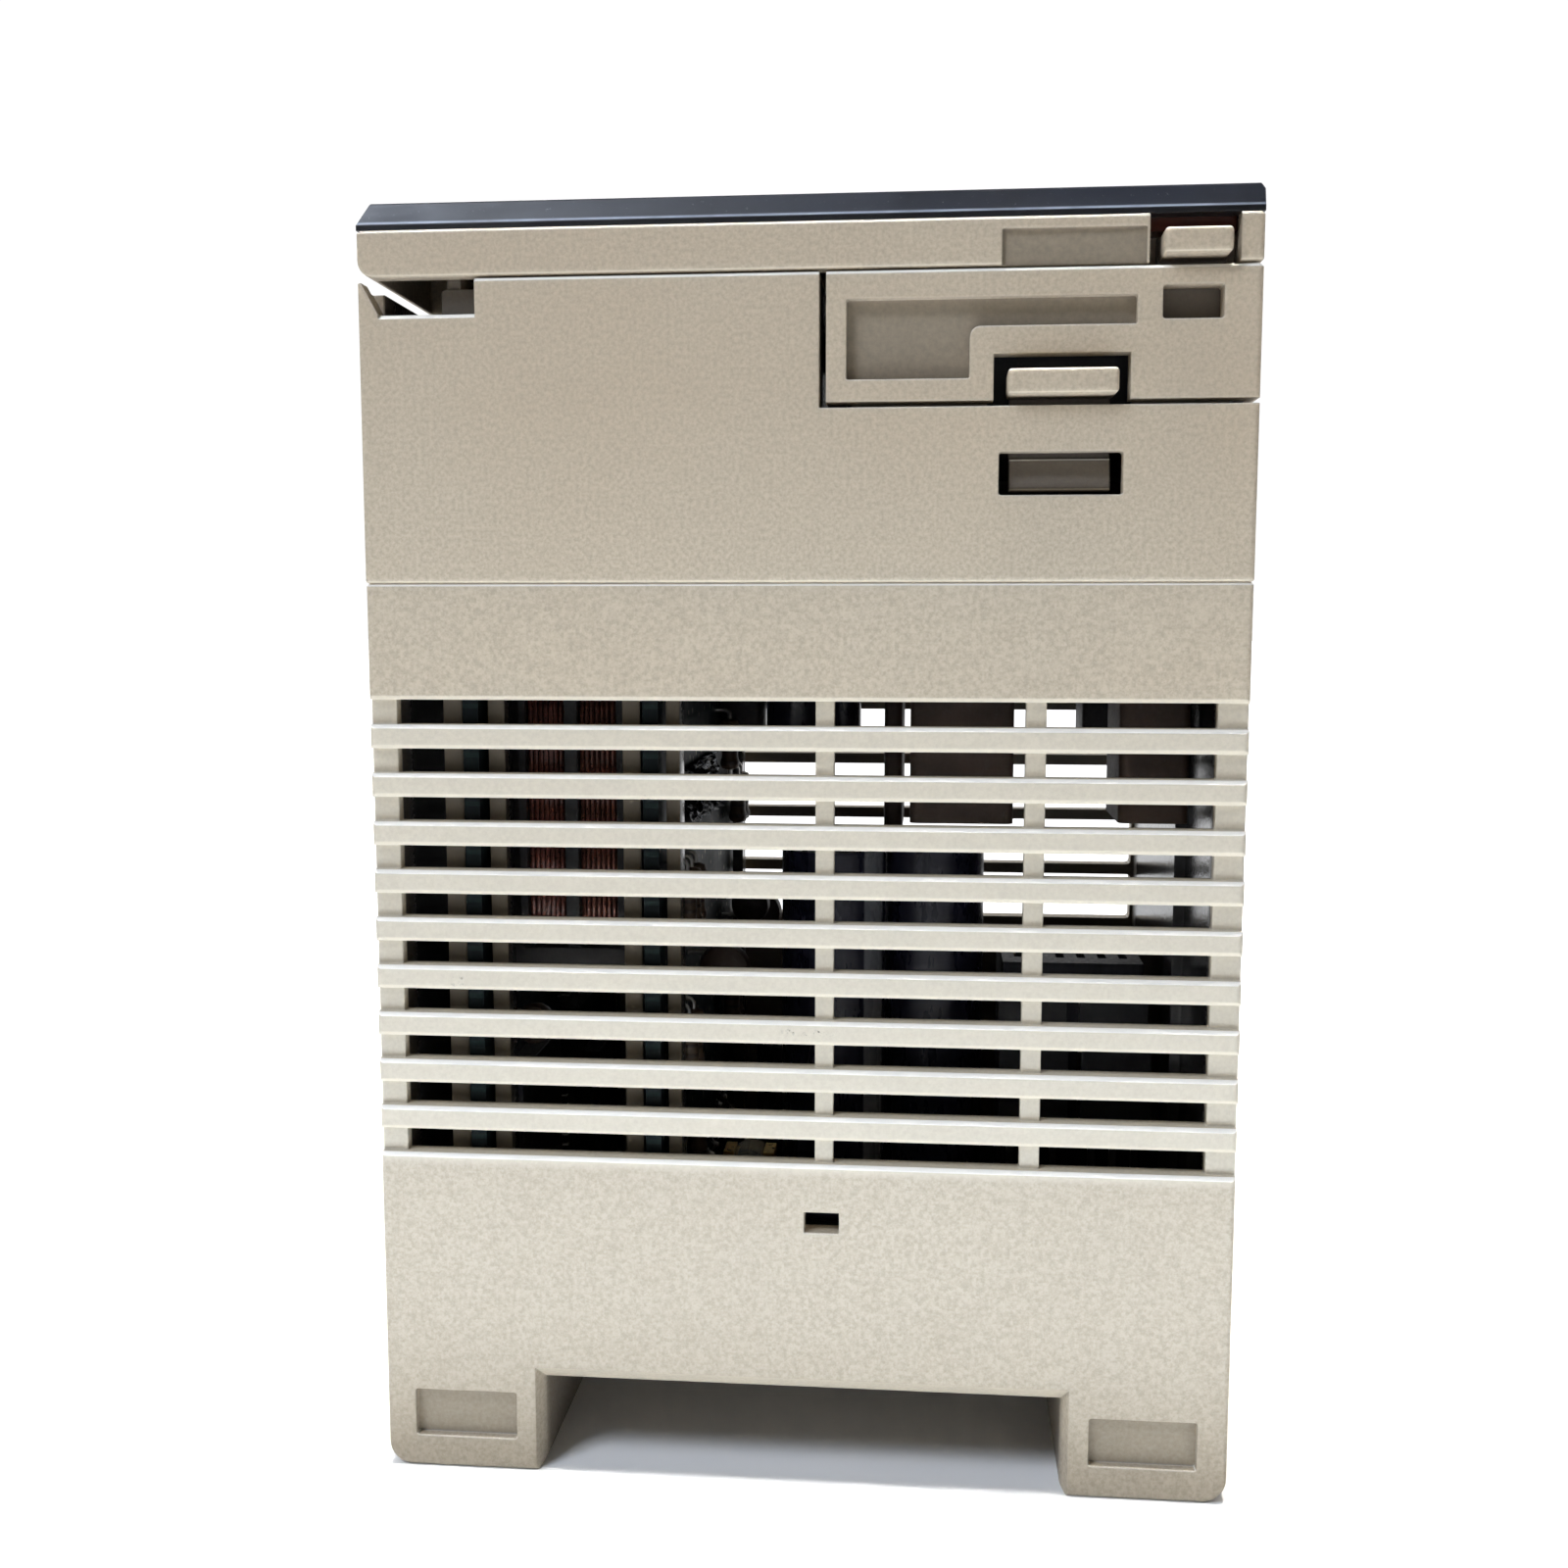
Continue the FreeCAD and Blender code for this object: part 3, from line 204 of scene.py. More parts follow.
def moulded_plastic(name, colour, pale, graded=False, painted_highlight_amount=0.95, finish_and_shade=plain_finish):
    """Moulded plastic: fine grain, slow colour drift, paler edges, painted highlights on upward edges and
    bevels, and painted light on downward bevels.
    """
    s = Surface(name)
    rough = 0.5
    drift = s.noise(28.0, 2.0)
    fine = s.noise(0.42, 2.0, 0.6)
    mottle = s.noise(1.3, 3.0, 0.65)
    edges, up = s.edge_mask(0.35, 3.0)
    painted_highlight_edges = s.math("MULTIPLY", edges, s.ramp(up, 0.1, 0.5))
    base = beige_by_height(s) if graded else colour
    base = s.mix(s.ramp(drift, 0.35, 0.65, 0.0, 0.35), base, pale)
    base = s.mix(s.ramp(fine, 0.35, 0.7, 0.0, 0.75), base, tuple(c * 0.74 for c in colour))
    base = s.mix(s.ramp(mottle, 0.45, 0.7, 0.0, 0.25), base, tuple(c * 0.82 for c in colour))
    base = s.mix(s.math("MULTIPLY", edges, 0.35), base, tuple(min(1.0, c * 1.35) for c in pale))
    # Painted highlight: upward-facing edges are mixed towards near white.
    base = s.mix(s.math("MULTIPLY", painted_highlight_edges, 0.85), base, PAINTED_HIGHLIGHT_COLOUR)
    base, polish = finish_and_shade(s, base)
    face_up = s.face_normal(2)
    # Painted highlight on bevels that face up, and painted light from below on bevels that face down.
    above = s.math("MULTIPLY", s.ramp(face_up, 0.55, 0.62), s.ramp(face_up, 0.85, 0.80))
    below = s.math("MULTIPLY", s.ramp(face_up, -0.55, -0.62), s.ramp(face_up, -0.85, -0.80))
    base = s.mix(s.math("MULTIPLY", below, 0.5), base, tuple(min(1.0, c * 1.3) for c in pale))
    base = s.mix(s.math("MULTIPLY", above, painted_highlight_amount), base, PAINTED_HIGHLIGHT_COLOUR)
    s.bump(fine, 0.03, 0.7, rounded_mm=0.3)
    roughness = s.ramp(fine, 0.3, 0.7, rough - 0.06, rough + 0.08)
    roughness = s.math("SUBTRACT", roughness, s.math("MULTIPLY", polish, rough - POLISHED_ROUGHNESS))
    return s.set(Base_Color=base, Roughness=roughness)


def inside_shade_paint(s, base, half_x, wall_y, low_z, high_z):
    """Painted shade inside a moulding, darker away from the side walls; also gives how polished it is there.
    """
    x = s.math("ABSOLUTE", s.axis(0))
    y = s.math("ABSOLUTE", s.axis(1))
    z = s.axis(2)
    room = s.math("MULTIPLY", s.ramp(x, (half_x + 0.1) * MM, half_x * MM),
                  s.math("MULTIPLY", s.ramp(z, (low_z - 0.1) * MM, low_z * MM),
                         s.ramp(z, (high_z + 0.1) * MM, high_z * MM)))
    edge = s.math("MULTIPLY", room, s.ramp(y, (wall_y + 0.1) * MM, wall_y * MM))
    deep = s.math("MULTIPLY", edge, s.ramp(y, (wall_y - 1.6) * MM, (wall_y - 4.5) * MM))
    # Painted shade: the inside is darkened, more so deeper in, and rib faces a little less.
    base = s.mix(s.math("MULTIPLY", edge, 0.92), base, INSIDE_PAINTED_SHADE)
    base = s.mix(s.math("MULTIPLY", deep, 0.92), base, DEEP_PAINTED_SHADE)
    outward = s.math("MULTIPLY", s.ramp(s.math("ABSOLUTE", s.face_normal(1)), 0.9, 0.95),
                     s.ramp(y, (wall_y - 4.8) * MM, (wall_y - 4.0) * MM))
    return s.mix(s.math("MULTIPLY", s.math("MULTIPLY", outward, edge), 0.9), base, RIB_FACE_PAINTED_SHADE), deep


def recess_shade_paint(s, base, face_y, low_z, high_z, amount=0.9):
    """Floors of the shallow recesses: coarser than the faces around them, and darker with painted shade."""
    y = s.math("ABSOLUTE", s.axis(1))
    flat = s.ramp(s.math("ABSOLUTE", s.face_normal(1)), 0.9, 0.95)
    below_face = s.math("MULTIPLY", s.ramp(y, (face_y - 0.3) * MM, (face_y - 0.35) * MM),
                        s.ramp(y, (face_y - 1.5) * MM, (face_y - 1.45) * MM))
    z = s.axis(2)
    band = s.math("MULTIPLY", s.ramp(z, low_z * MM, (low_z + 0.1) * MM),
                  s.ramp(z, (high_z + 0.1) * MM, high_z * MM))
    mask = s.math("MULTIPLY", s.math("MULTIPLY", flat, below_face), band)
    coarse = s.noise(0.8, 3.0, 0.7)
    # Painted shade on the recess floors, broken up by coarse noise.
    floor = s.mix(s.ramp(coarse, 0.35, 0.65), RECESS_PAINTED_SHADE, tuple(c * 1.25 for c in RECESS_PAINTED_SHADE))
    return s.mix(s.math("MULTIPLY", mask, amount), base, floor)


def case_dust_and_shading_paint(s, base):
    """Lower case: bars made paler with painted light, dust, and painted shade in the foot pockets, in the
    channel between the feet and inside.
    """
    z = s.axis(2)
    # Painted light: the louvre bars are made paler.
    bars = s.math("MULTIPLY", s.ramp(z, (BARS_TOP + 0.8) * MM, BARS_TOP * MM),
                  s.ramp(z, (BARS_BOTTOM - 0.8) * MM, BARS_BOTTOM * MM))
    bars = s.math("MULTIPLY", bars, s.ramp(s.axis(1), BARS_BACK * MM, (BARS_BACK - 1.0) * MM))
    base = s.mix(s.math("MULTIPLY", bars, 0.55), base, BAR_PAINTED_LIGHT)
    base = dirt_marks(s, base)
    # Painted shade on the floors of the foot pockets.
    base = recess_shade_paint(s, base, 33.8, 3.2, 8.8, 0.55)
    x = s.math("ABSOLUTE", s.axis(0))
    y = s.math("ABSOLUTE", s.axis(1))
    # Painted shade in the channel between the feet.
    between_feet = s.math("MULTIPLY", s.ramp(x, (CHANNEL_HALF_X + 0.1) * MM, (CHANNEL_HALF_X - 0.1) * MM),
                          s.ramp(y, CHANNEL_MOUTH_Y * MM, CHANNEL_DARK_Y * MM))
    channel = s.math("MULTIPLY", s.ramp(z, (CHANNEL_TOP + 0.2) * MM, (CHANNEL_TOP - 0.1) * MM), between_feet)
    base = s.mix(s.math("MULTIPLY", channel, 0.8), base, CHANNEL_PAINTED_SHADE)
    return inside_shade_paint(s, base, 41.7, 31.5, 12.3, 93.6)


def housing_shade_paint(s, base):
    """Upper housing: painted shade inside."""
    return inside_shade_paint(s, base, 42.1, 32.1, 93.0, 123.2)


def cover_shade_paint(s, base):
    """Terminal cover: painted shade on its outside recess floor and inside."""
    base = recess_shade_paint(s, base, 34.0, 112.0, 122.0)
    return inside_shade_paint(s, base, 43.0, 31.5, 110.0, 121.9)


def door_shade_paint(s, base):
    """Door frame: painted shade on the floor of the pocket in its rim."""
    return recess_shade_paint(s, base, 34.0, 123.0, 128.0), 0.0


def deck_shade_paint(s, base):
    """Painted shade: the deck's end wall, seen through the finger notch, is dark below the lip, and the
    deck's sides are dark too.
    """
    below_lip = s.ramp(s.axis(2), 124.4 * MM, 124.1 * MM)
    end_wall = s.math("MULTIPLY", s.ramp(s.axis(0), -35.0 * MM, -35.4 * MM), below_lip)
    sides = s.ramp(s.math("ABSOLUTE", s.axis(1)), 31.3 * MM, 31.6 * MM)
    deck_shade_mask = s.math("MULTIPLY", s.math("MAXIMUM", end_wall, sides), 0.9)
    return s.mix(deck_shade_mask, base, DECK_PAINTED_SHADE), 0.0


def latch_shade_paint(s, base):
    """Painted shade: latch arms are dark where they stand behind the wall."""
    y = s.math("ABSOLUTE", s.axis(1))
    return s.mix(s.ramp(y, 33.0 * MM, 32.6 * MM, 0.0, 0.9), base, LATCH_ARM_PAINTED_SHADE), 0.0


def dirt_marks(s, base):
    """Small dust smudges on the louvre bars, each an ellipse broken up by noise."""
    broken = s.noise(0.5, 4.0, 0.8)
    x = s.axis(0)
    z = s.axis(2)
    y = s.axis(1)
    near_face = s.ramp(y, -32.5 * MM, -32.6 * MM)
    for spot_x, spot_z, half_x, half_z in DIRT_SPOTS:
        dx = s.math("DIVIDE", s.math("SUBTRACT", x, spot_x * MM), half_x * MM)
        dz = s.math("DIVIDE", s.math("SUBTRACT", z, spot_z * MM), half_z * MM)
        reach = s.math("ADD", s.math("MULTIPLY", dx, dx), s.math("MULTIPLY", dz, dz))
        mask = s.math("MULTIPLY", s.ramp(reach, 1.0, 0.2), s.ramp(broken, 0.55, 0.66))
        base = s.mix(s.math("MULTIPLY", mask, near_face), base, DIRT_TINT)
    return base


def satin_black(name):
    """Front plate: near-black satin plastic, with painted shade making the lip below blacker and a painted
    highlight line along the lip's top.
    """
    s = Surface(name)
    haze = s.noise(9.0, 4.0, 0.6)
    dust = s.noise(0.4, 3.0, 0.7)
    scuff = s.noise(2.2, 4.0, 0.7, stretch=(0.25, 1.0, 1.0))
    edges = s.edge_mask(0.3, 3.0)[0]
    z = s.axis(2)
    base = s.mix(s.ramp(haze, 0.35, 0.7, 0.0, 0.6), BLACK, (0.020, 0.024, 0.036))
    base = s.mix(s.ramp(dust, 0.66, 0.74, 0.0, 0.5), base, (0.12, 0.12, 0.13))
    base = s.mix(s.math("MULTIPLY", edges, 0.5), base, (0.10, 0.105, 0.12))
    # Painted shade makes the lip blacker; a painted highlight line runs along its top.
    lip = s.ramp(z, PLATE_LIP_TOP * MM, (PLATE_LIP_TOP - 0.1) * MM)
    painted_highlight_line = s.math("MULTIPLY", s.ramp(z, PLATE_LIP_TOP * MM, (PLATE_LIP_TOP + 0.05) * MM),
                  s.ramp(z, (PLATE_LIP_TOP + 0.3) * MM, (PLATE_LIP_TOP + 0.15) * MM))
    base = s.mix(lip, base, (0.003, 0.003, 0.004))
    base = s.mix(s.math("MULTIPLY", painted_highlight_line, s.ramp(haze, 0.3, 0.6, 0.35, 0.85)), base, (0.30, 0.34, 0.42))
    s.bump(scuff, 0.01, 0.3, rounded_mm=0.15)
    return s.set(Base_Color=base, Roughness=s.ramp(scuff, 0.3, 0.7, 0.34, 0.50))


def dark_plastic(name, colour, rough=0.45):
    """Dark moulded or dipped part with a cloudy colour and a little dust."""
    s = Surface(name)
    cloud = s.noise(6.0, 3.0)
    fine = s.noise(0.5, 2.0, 0.6)
    dust = s.noise(1.4, 4.0, 0.75)
    base = s.mix(s.ramp(cloud, 0.35, 0.65, 0.0, 1.0), colour, tuple(c * 1.7 + 0.003 for c in colour))
    base = s.mix(s.ramp(dust, 0.58, 0.8, 0.0, 0.25), base, (0.16, 0.15, 0.13))
    s.bump(fine, 0.012, 0.5, rounded_mm=0.15)
    return s.set(Base_Color=base, Roughness=s.ramp(fine, 0.3, 0.7, rough - 0.08, rough + 0.1))


def metal(name, colour, rough=0.3):
    """Bare metal with faint vertical streaks and patches of tarnish."""
    s = Surface(name)
    brushed = s.noise(0.6, 4.0, 0.65, stretch=(1.0, 1.0, 0.12))
    tarnish = s.noise(3.5, 4.0, 0.6)
    base = s.mix(s.ramp(tarnish, 0.4, 0.75, 0.0, 0.5), colour, tuple(c * 0.6 for c in colour))
    s.bump(brushed, 0.006, 0.4, rounded_mm=0.08)
    s.shader.inputs["Metallic"].default_value = 1.0
    return s.set(Base_Color=base, Roughness=s.ramp(brushed, 0.3, 0.7, rough - 0.08, rough + 0.14))


def circuit_board(name):
    """Solder mask over copper tracks, with bare pads on a 2.54 mm grid."""
    s = Surface(name)
    tracks = s.node("ShaderNodeTexBrick")
    tracks.inputs["Scale"].default_value = 1.0 / (5.08 * MM)
    tracks.inputs["Mortar Size"].default_value = 0.05
    tracks.inputs["Brick Width"].default_value = 2.2
    tracks.inputs["Row Height"].default_value = 0.5
    turned = s.node("ShaderNodeVectorRotate", rotation_type="EULER_XYZ")
    turned.inputs["Rotation"].default_value = (0.0, math.radians(90), math.radians(90))
    s.wire(s.place, turned.inputs["Vector"])
    s.wire(turned.outputs["Vector"], tracks.inputs["Vector"])
    pads = s.node("ShaderNodeTexVoronoi", feature="F1")
    pads.inputs["Scale"].default_value = 1.0 / (2.54 * MM)
    pads.inputs["Randomness"].default_value = 0.35
    s.wire(s.place, pads.inputs["Vector"])
    flux = s.noise(7.0, 4.0, 0.6)
    mask = s.mix(s.ramp(flux, 0.35, 0.7, 0.0, 1.0), (0.003, 0.007, 0.009), (0.007, 0.014, 0.016))
    mask = s.mix(s.math("MULTIPLY", tracks.outputs["Fac"], 0.55), mask, (0.010, 0.024, 0.022))
    lands = s.ramp(pads.outputs["Distance"], 0.15, 0.11)
    base = s.mix(lands, mask, (0.20, 0.18, 0.15))
    s.bump(tracks.outputs["Fac"], 0.035, 0.5)
    s.shader.inputs["Specular IOR Level"].default_value = 0.15
    return s.set(Base_Color=base, Roughness=s.ramp(flux, 0.3, 0.7, 0.45, 0.65),
                 Metallic=s.math("MULTIPLY", lands, 0.8))


def ferrite(name):
    """Dull, grainy grey-black core material."""
    s = Surface(name)
    grain = s.noise(0.3, 3.0, 0.7)
    cloud = s.noise(4.0, 3.0)
    base = s.mix(s.ramp(cloud, 0.3, 0.7), (0.018, 0.017, 0.018), (0.04, 0.037, 0.035))
    s.bump(grain, 0.02, 0.7, rounded_mm=0.2)
    return s.set(Base_Color=base, Roughness=s.ramp(grain, 0.3, 0.7, 0.55, 0.75))


def enamelled_wire(name, colour):
    """Varnished wire."""
    s = Surface(name)
    varnish = s.noise(2.5, 3.0, 0.6)
    fine = s.noise(0.25, 2.0)
    base = s.mix(s.ramp(varnish, 0.35, 0.7), colour, tuple(c * 0.45 for c in colour))
    s.bump(fine, 0.01, 0.4)
    s.shader.inputs["Metallic"].default_value = 0.7
    s.shader.inputs["Coat Weight"].default_value = 0.5
    return s.set(Base_Color=base, Roughness=s.ramp(fine, 0.3, 0.7, 0.25, 0.4))


def capacitor_sleeve(name, top_z):
    """Shrink sleeve with a pale polarity stripe up the can; bare aluminium on the top."""
    s = Surface(name)
    wrinkle = s.noise(1.6, 3.0, 0.6, stretch=(1.0, 1.0, 0.3))
    z = s.axis(2)
    bare = s.ramp(z, top_z - 0.45 * MM, top_z - 0.40 * MM)
    stripe = s.node("ShaderNodeTexWave", wave_type="BANDS", bands_direction="X")
    stripe.inputs["Scale"].default_value = 24.0
    s.wire(s.place, stripe.inputs["Vector"])
    band = s.math("MULTIPLY", s.ramp(stripe.outputs["Fac"], 0.93, 0.95), s.ramp(s.axis(1), 0.0, -0.5 * MM))
    base = s.mix(s.ramp(wrinkle, 0.3, 0.7), (0.010, 0.010, 0.022), (0.022, 0.022, 0.04))
    base = s.mix(s.math("MULTIPLY", band, 0.7), base, (0.35, 0.35, 0.36))
    base = s.mix(bare, base, (0.62, 0.62, 0.62))
    s.bump(wrinkle, 0.03, 0.4)
    return s.set(Base_Color=base, Roughness=s.ramp(wrinkle, 0.3, 0.7, 0.22, 0.36), Metallic=bare)


def clear_plastic(name, tint):
    """Clear plastic with a slightly rippled surface."""
    s = Surface(name)
    ripple = s.noise(1.2, 2.0)
    s.bump(ripple, 0.01, 0.4)
    s.shader.inputs["Transmission Weight"].default_value = 0.85
    s.shader.inputs["IOR"].default_value = 1.49
    base = s.mix(s.ramp(ripple, 0.3, 0.7), tint, tuple(c * 0.9 for c in tint))
    return s.set(Base_Color=base, Roughness=s.ramp(ripple, 0.3, 0.7, 0.05, 0.14))


def foil_film_painted_glints(name):
    """Glossy crumpled film: painted dark, standing in for the shaded inside seen through it, with painted
    glints at its folds.
    """
    s = Surface(name)
    folds = s.noise(1.1, 3.0, 0.6)
    # Painted glints where the folds rise, painted shade elsewhere.
    base = s.mix(s.ramp(folds, 0.5, 0.68), (0.012, 0.014, 0.018), (0.40, 0.43, 0.47))
    s.bump(folds, 0.25, 0.8)
    s.shader.inputs["Metallic"].default_value = 0.6
    return s.set(Base_Color=base, Roughness=s.ramp(folds, 0.3, 0.7, 0.08, 0.2))


def smoked_filter(name):
    """Dark red-brown lamp filter."""
    s = Surface(name)
    haze = s.noise(5.0, 3.0)
    base = s.mix(s.ramp(haze, 0.35, 0.7), (0.045, 0.010, 0.005), (0.070, 0.018, 0.010))
    s.bump(haze, 0.01, 0.2)
    return s.set(Base_Color=base, Roughness=s.ramp(haze, 0.3, 0.7, 0.12, 0.24))


# ---- mesh building, in mm -----------------------------------------------------------------
def bridge(bm, rings, closed=False):
    """Faces between neighbouring rings; open ends are capped."""
    count = len(rings[0])
    pairs = list(zip(rings, rings[1:]))
    if closed:
        pairs.append((rings[-1], rings[0]))
    for low, high in pairs:
        for k in range(count):
            n = (k + 1) % count
            bm.faces.new((low[k], low[n], high[n], high[k]))
    if not closed:
        bm.faces.new(list(reversed(rings[0])))
        bm.faces.new(rings[-1])


def add_block(bm, low, high, radius):
    """Box with rounded edges."""
    made = bmesh.ops.create_cube(bm, size=1.0)["verts"]
    for vert in made:
        vert.co = Vector([(a + b) / 2 + c * (b - a) for a, b, c in zip(low, high, vert.co)]) * MM
    edges = list({edge for vert in made for edge in vert.link_edges})
    bmesh.ops.bevel(bm, geom=edges, offset=radius * MM, segments=3, profile=0.5, affect="EDGES")


def add_tube(bm, path, radius, sides=8, closed=False):
    """Round wire along the points of path."""
    points = [Vector(point) for point in path]
    count = len(points)
    side = None
    rings = []
    for i, point in enumerate(points):
        before = points[i - 1] if closed or i else point
        after = points[(i + 1) % count] if closed or i < count - 1 else point
        along = (after - before).normalized()
        side = along.orthogonal() if side is None else side
        side = (side - along * side.dot(along)).normalized()
        up = along.cross(side)
        ring = []
        for k in range(sides):
            angle = 2 * math.pi * k / sides
            ring.append(bm.verts.new((point + (side * math.cos(angle) + up * math.sin(angle)) * radius) * MM))
        rings.append(ring)
    bridge(bm, rings, closed)


def add_lathe(bm, profile, place, axis="Z", sides=28):
    """Solid of revolution through (radius, height) points along an axis."""
    rings = []
    for radius, height in profile:
        ring = []
        for k in range(sides):
            angle = 2 * math.pi * k / sides
            u, v = radius * math.cos(angle), radius * math.sin(angle)
            spot = {"X": (height, u, v), "Y": (v, height, u), "Z": (u, v, height)}[axis]
            ring.append(bm.verts.new((Vector(place) + Vector(spot)) * MM))
        rings.append(ring)
    bridge(bm, rings)


def add_piece(name, bm, material, replaces=None):
    """Mesh object from bm that rides on the case; it may stand in for a CAD node."""
    mesh = bpy.data.meshes.new(name)
    bmesh.ops.recalc_face_normals(bm, faces=bm.faces)
    bm.to_mesh(mesh)
    bm.free()
    mesh.materials.append(material)
    mesh.shade_smooth()
    mesh.set_sharp_from_angle(angle=math.radians(38))
    made = bpy.data.objects.new(name, mesh)
    bpy.context.scene.collection.objects.link(made)
    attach(made, "case")
    if replaces:
        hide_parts(replaces)


def rounded_loop(low, high, radius, steps=6):
    """Points of a rounded rectangle, as (u, v) pairs."""
    points = []
    corners = ((high[0], high[1]), (low[0], high[1]), (low[0], low[1]), (high[0], low[1]))
    for corner, (u, v) in enumerate(corners):
        centre_u = u - math.copysign(radius, u - (low[0] + high[0]) / 2)
        centre_v = v - math.copysign(radius, v - (low[1] + high[1]) / 2)
        for k in range(steps + 1):
            angle = math.pi / 2 * (corner + k / steps)
            points.append((centre_u + radius * math.cos(angle), centre_v + radius * math.sin(angle)))
    return points


# ---- wire turns ---------------------------------------------------------------------------
WIRE_R = 0.27
TURN_PITCH = 0.56
CHOKE_WIRE_R = 0.32
CHOKE_TURN_GROUPS = 10
HUB_R = 6.1
rng = random.Random(7)


def wind_transformer(name, node, material):
    """Turns of wire on the bobbin, over a plain inner layer, in the space of the CAD winding."""
    low, high = (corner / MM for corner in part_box(node))
    bm = bmesh.new()
    inner_layer = rounded_loop((low.y + 0.45, low.z + 0.45), (high.y - 0.45, high.z - 0.45), 2.6)
    middle = (low + high) / 2
    bore = []
    for y, z in inner_layer:
        angle = math.atan2(z - middle.z, y - middle.y)
        bore.append((middle.y + HUB_R * math.cos(angle), middle.z + HUB_R * math.sin(angle)))
    x0, x1 = low.x + 0.05, high.x - 0.05
    sections = ((inner_layer, x0), (inner_layer, x1), (bore, x1), (bore, x0))
    bridge(bm, [[bm.verts.new(Vector((x, y, z)) * MM) for y, z in loop] for loop, x in sections], closed=True)
    x = low.x + WIRE_R + 0.02
    while x < high.x - WIRE_R:
        inset = WIRE_R + 0.01 + rng.uniform(0.0, 0.12)
        loop = rounded_loop((low.y + inset, low.z + inset), (high.y - inset, high.z - inset), 2.7)
        lean = rng.uniform(-0.03, 0.03)
        path = [(x + lean * math.sin(i * 0.7), y, z) for i, (y, z) in enumerate(loop)]
        add_tube(bm, path, WIRE_R, closed=True)
        x += TURN_PITCH
    add_piece(name, bm, material, node)


def wind_choke(name, node, material):
    """Turns of wire around the ring core, in groups of three."""
    low, high = (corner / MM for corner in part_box("choke_core"))
    centre = (low + high) / 2
    tube_r = (high.z - low.z) / 2
    ring_r = (high.x - low.x) / 2 - tube_r
    bm = bmesh.new()
    for group in range(CHOKE_TURN_GROUPS):
        for turn in (-1, 0, 1):
            around = math.radians(360 / CHOKE_TURN_GROUPS * group + 5.6 * turn + rng.uniform(-0.4, 0.4))
            out = Vector((math.cos(around), math.sin(around), 0.0))
            reach = tube_r + CHOKE_WIRE_R + 0.06
            loop = []
            for k in range(20):
                angle = 2 * math.pi * k / 20
                rise = Vector((0, 0, reach * math.sin(angle)))
                loop.append(centre + out * (ring_r + reach * math.cos(angle)) + rise)
            add_tube(bm, loop, CHOKE_WIRE_R, closed=True)
    add_piece(name, bm, material, node)


# ---- parts on the boards --------------------------------------------------------------------
LEAD_R = 0.3

# Chips of the main board: y, z, half width, half height. Pins stand on a 1.27 mm pitch.
CHIPS = ((-16.0, 32.0, 9.0, 9.0), (6.0, 24.0, 5.0, 8.0), (20.0, 24.0, 5.0, 8.0), (10.0, 46.0, 7.0, 5.0))
CHIP_PIN_PITCH = 1.27

# Half profiles as (radius, height) pairs.
RESISTOR_PROFILE = ((0.5, -3.3), (1.05, -3.1), (1.25, -2.6), (1.22, -2.1), (1.05, -1.6),
                    (1.05, 1.6), (1.22, 2.1), (1.25, 2.6), (1.05, 3.1), (0.5, 3.3))
RESISTOR_BANDS = ((-2.35, 0.28), (-0.9, 0.22), (0.2, 0.22), (2.35, 0.3))
SOLDER_PROFILE = ((0.95, 0.0), (0.7, 0.12), (0.4, 0.5), (0.3, 0.85), (0.12, 0.95))


def add_resistors(name, spots, body, bands, leads):
    """Axial resistors that stand off a board's +X face, each (board x, y, z) with its axis along Z."""
    bodies, rings, wires = bmesh.new(), bmesh.new(), bmesh.new()
    for face_x, y, z in spots:
        x = face_x + 1.9
        add_lathe(bodies, RESISTOR_PROFILE, (x, y, z), sides=18)
        for height, half in RESISTOR_BANDS:
            radius = 1.27 if abs(height) > 2 else 1.08
            band = ((radius - 0.1, height - half), (radius, height - half + 0.05),
                    (radius, height + half - 0.05), (radius - 0.1, height + half))
            add_lathe(rings, band, (x, y, z), sides=18)
        for end in (-1, 1):
            add_tube(wires, ((x, y, z + 3.2 * end), (x, y, z + 4.0 * end), (x - 0.25, y, z + 4.35 * end),
                             (x - 0.7, y, z + 4.5 * end), (face_x - 0.1, y, z + 4.5 * end)), LEAD_R)
    add_piece(name + "_bodies", bodies, body)
    add_piece(name + "_bands", rings, bands)
    add_piece(name + "_leads", wires, leads)


def add_disc_capacitors(name, spots, material, leads):
    """Dipped discs on two leads, each (board x, y, z, radius), lying in a plane along Y."""
    discs, wires = bmesh.new(), bmesh.new()
    for face_x, y, z, radius in spots:
        x = face_x + radius + 1.3
        add_lathe(discs, ((radius * 0.6, -1.5), (radius * 0.93, -1.0), (radius, -0.2), (radius, 0.2),
                          (radius * 0.93, 1.0), (radius * 0.6, 1.5)), (x, y, z), axis="Y")
        for side in (-1, 1):
            z_lead = z + side * radius * 0.62
            add_tube(wires, ((x - radius * 0.55, y, z_lead), (face_x + 1.0, y, z_lead),
                             (face_x - 0.1, y, z_lead)), LEAD_R)
    add_piece(name + "_discs", discs, material)
    add_piece(name + "_leads", wires, leads)


def add_hanging_cans(name, spots, material):
    """Small round capacitors under the front board, each (x, y, radius, bottom z)."""
    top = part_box("front_board")[0].z / MM
    bm = bmesh.new()
    for x, y, radius, bottom in spots:
        height = top - bottom
        add_lathe(bm, ((radius - 0.9, 0.0), (radius - 0.25, 0.1), (radius, 0.5), (radius, height - 2.6),
                       (radius - 0.35, height - 2.2), (radius - 0.35, height - 1.9), (radius, height - 1.5),
                       (radius, height - 0.3), (radius - 0.4, height - 0.02)), (x, y, bottom))
    add_piece(name, bm, material)


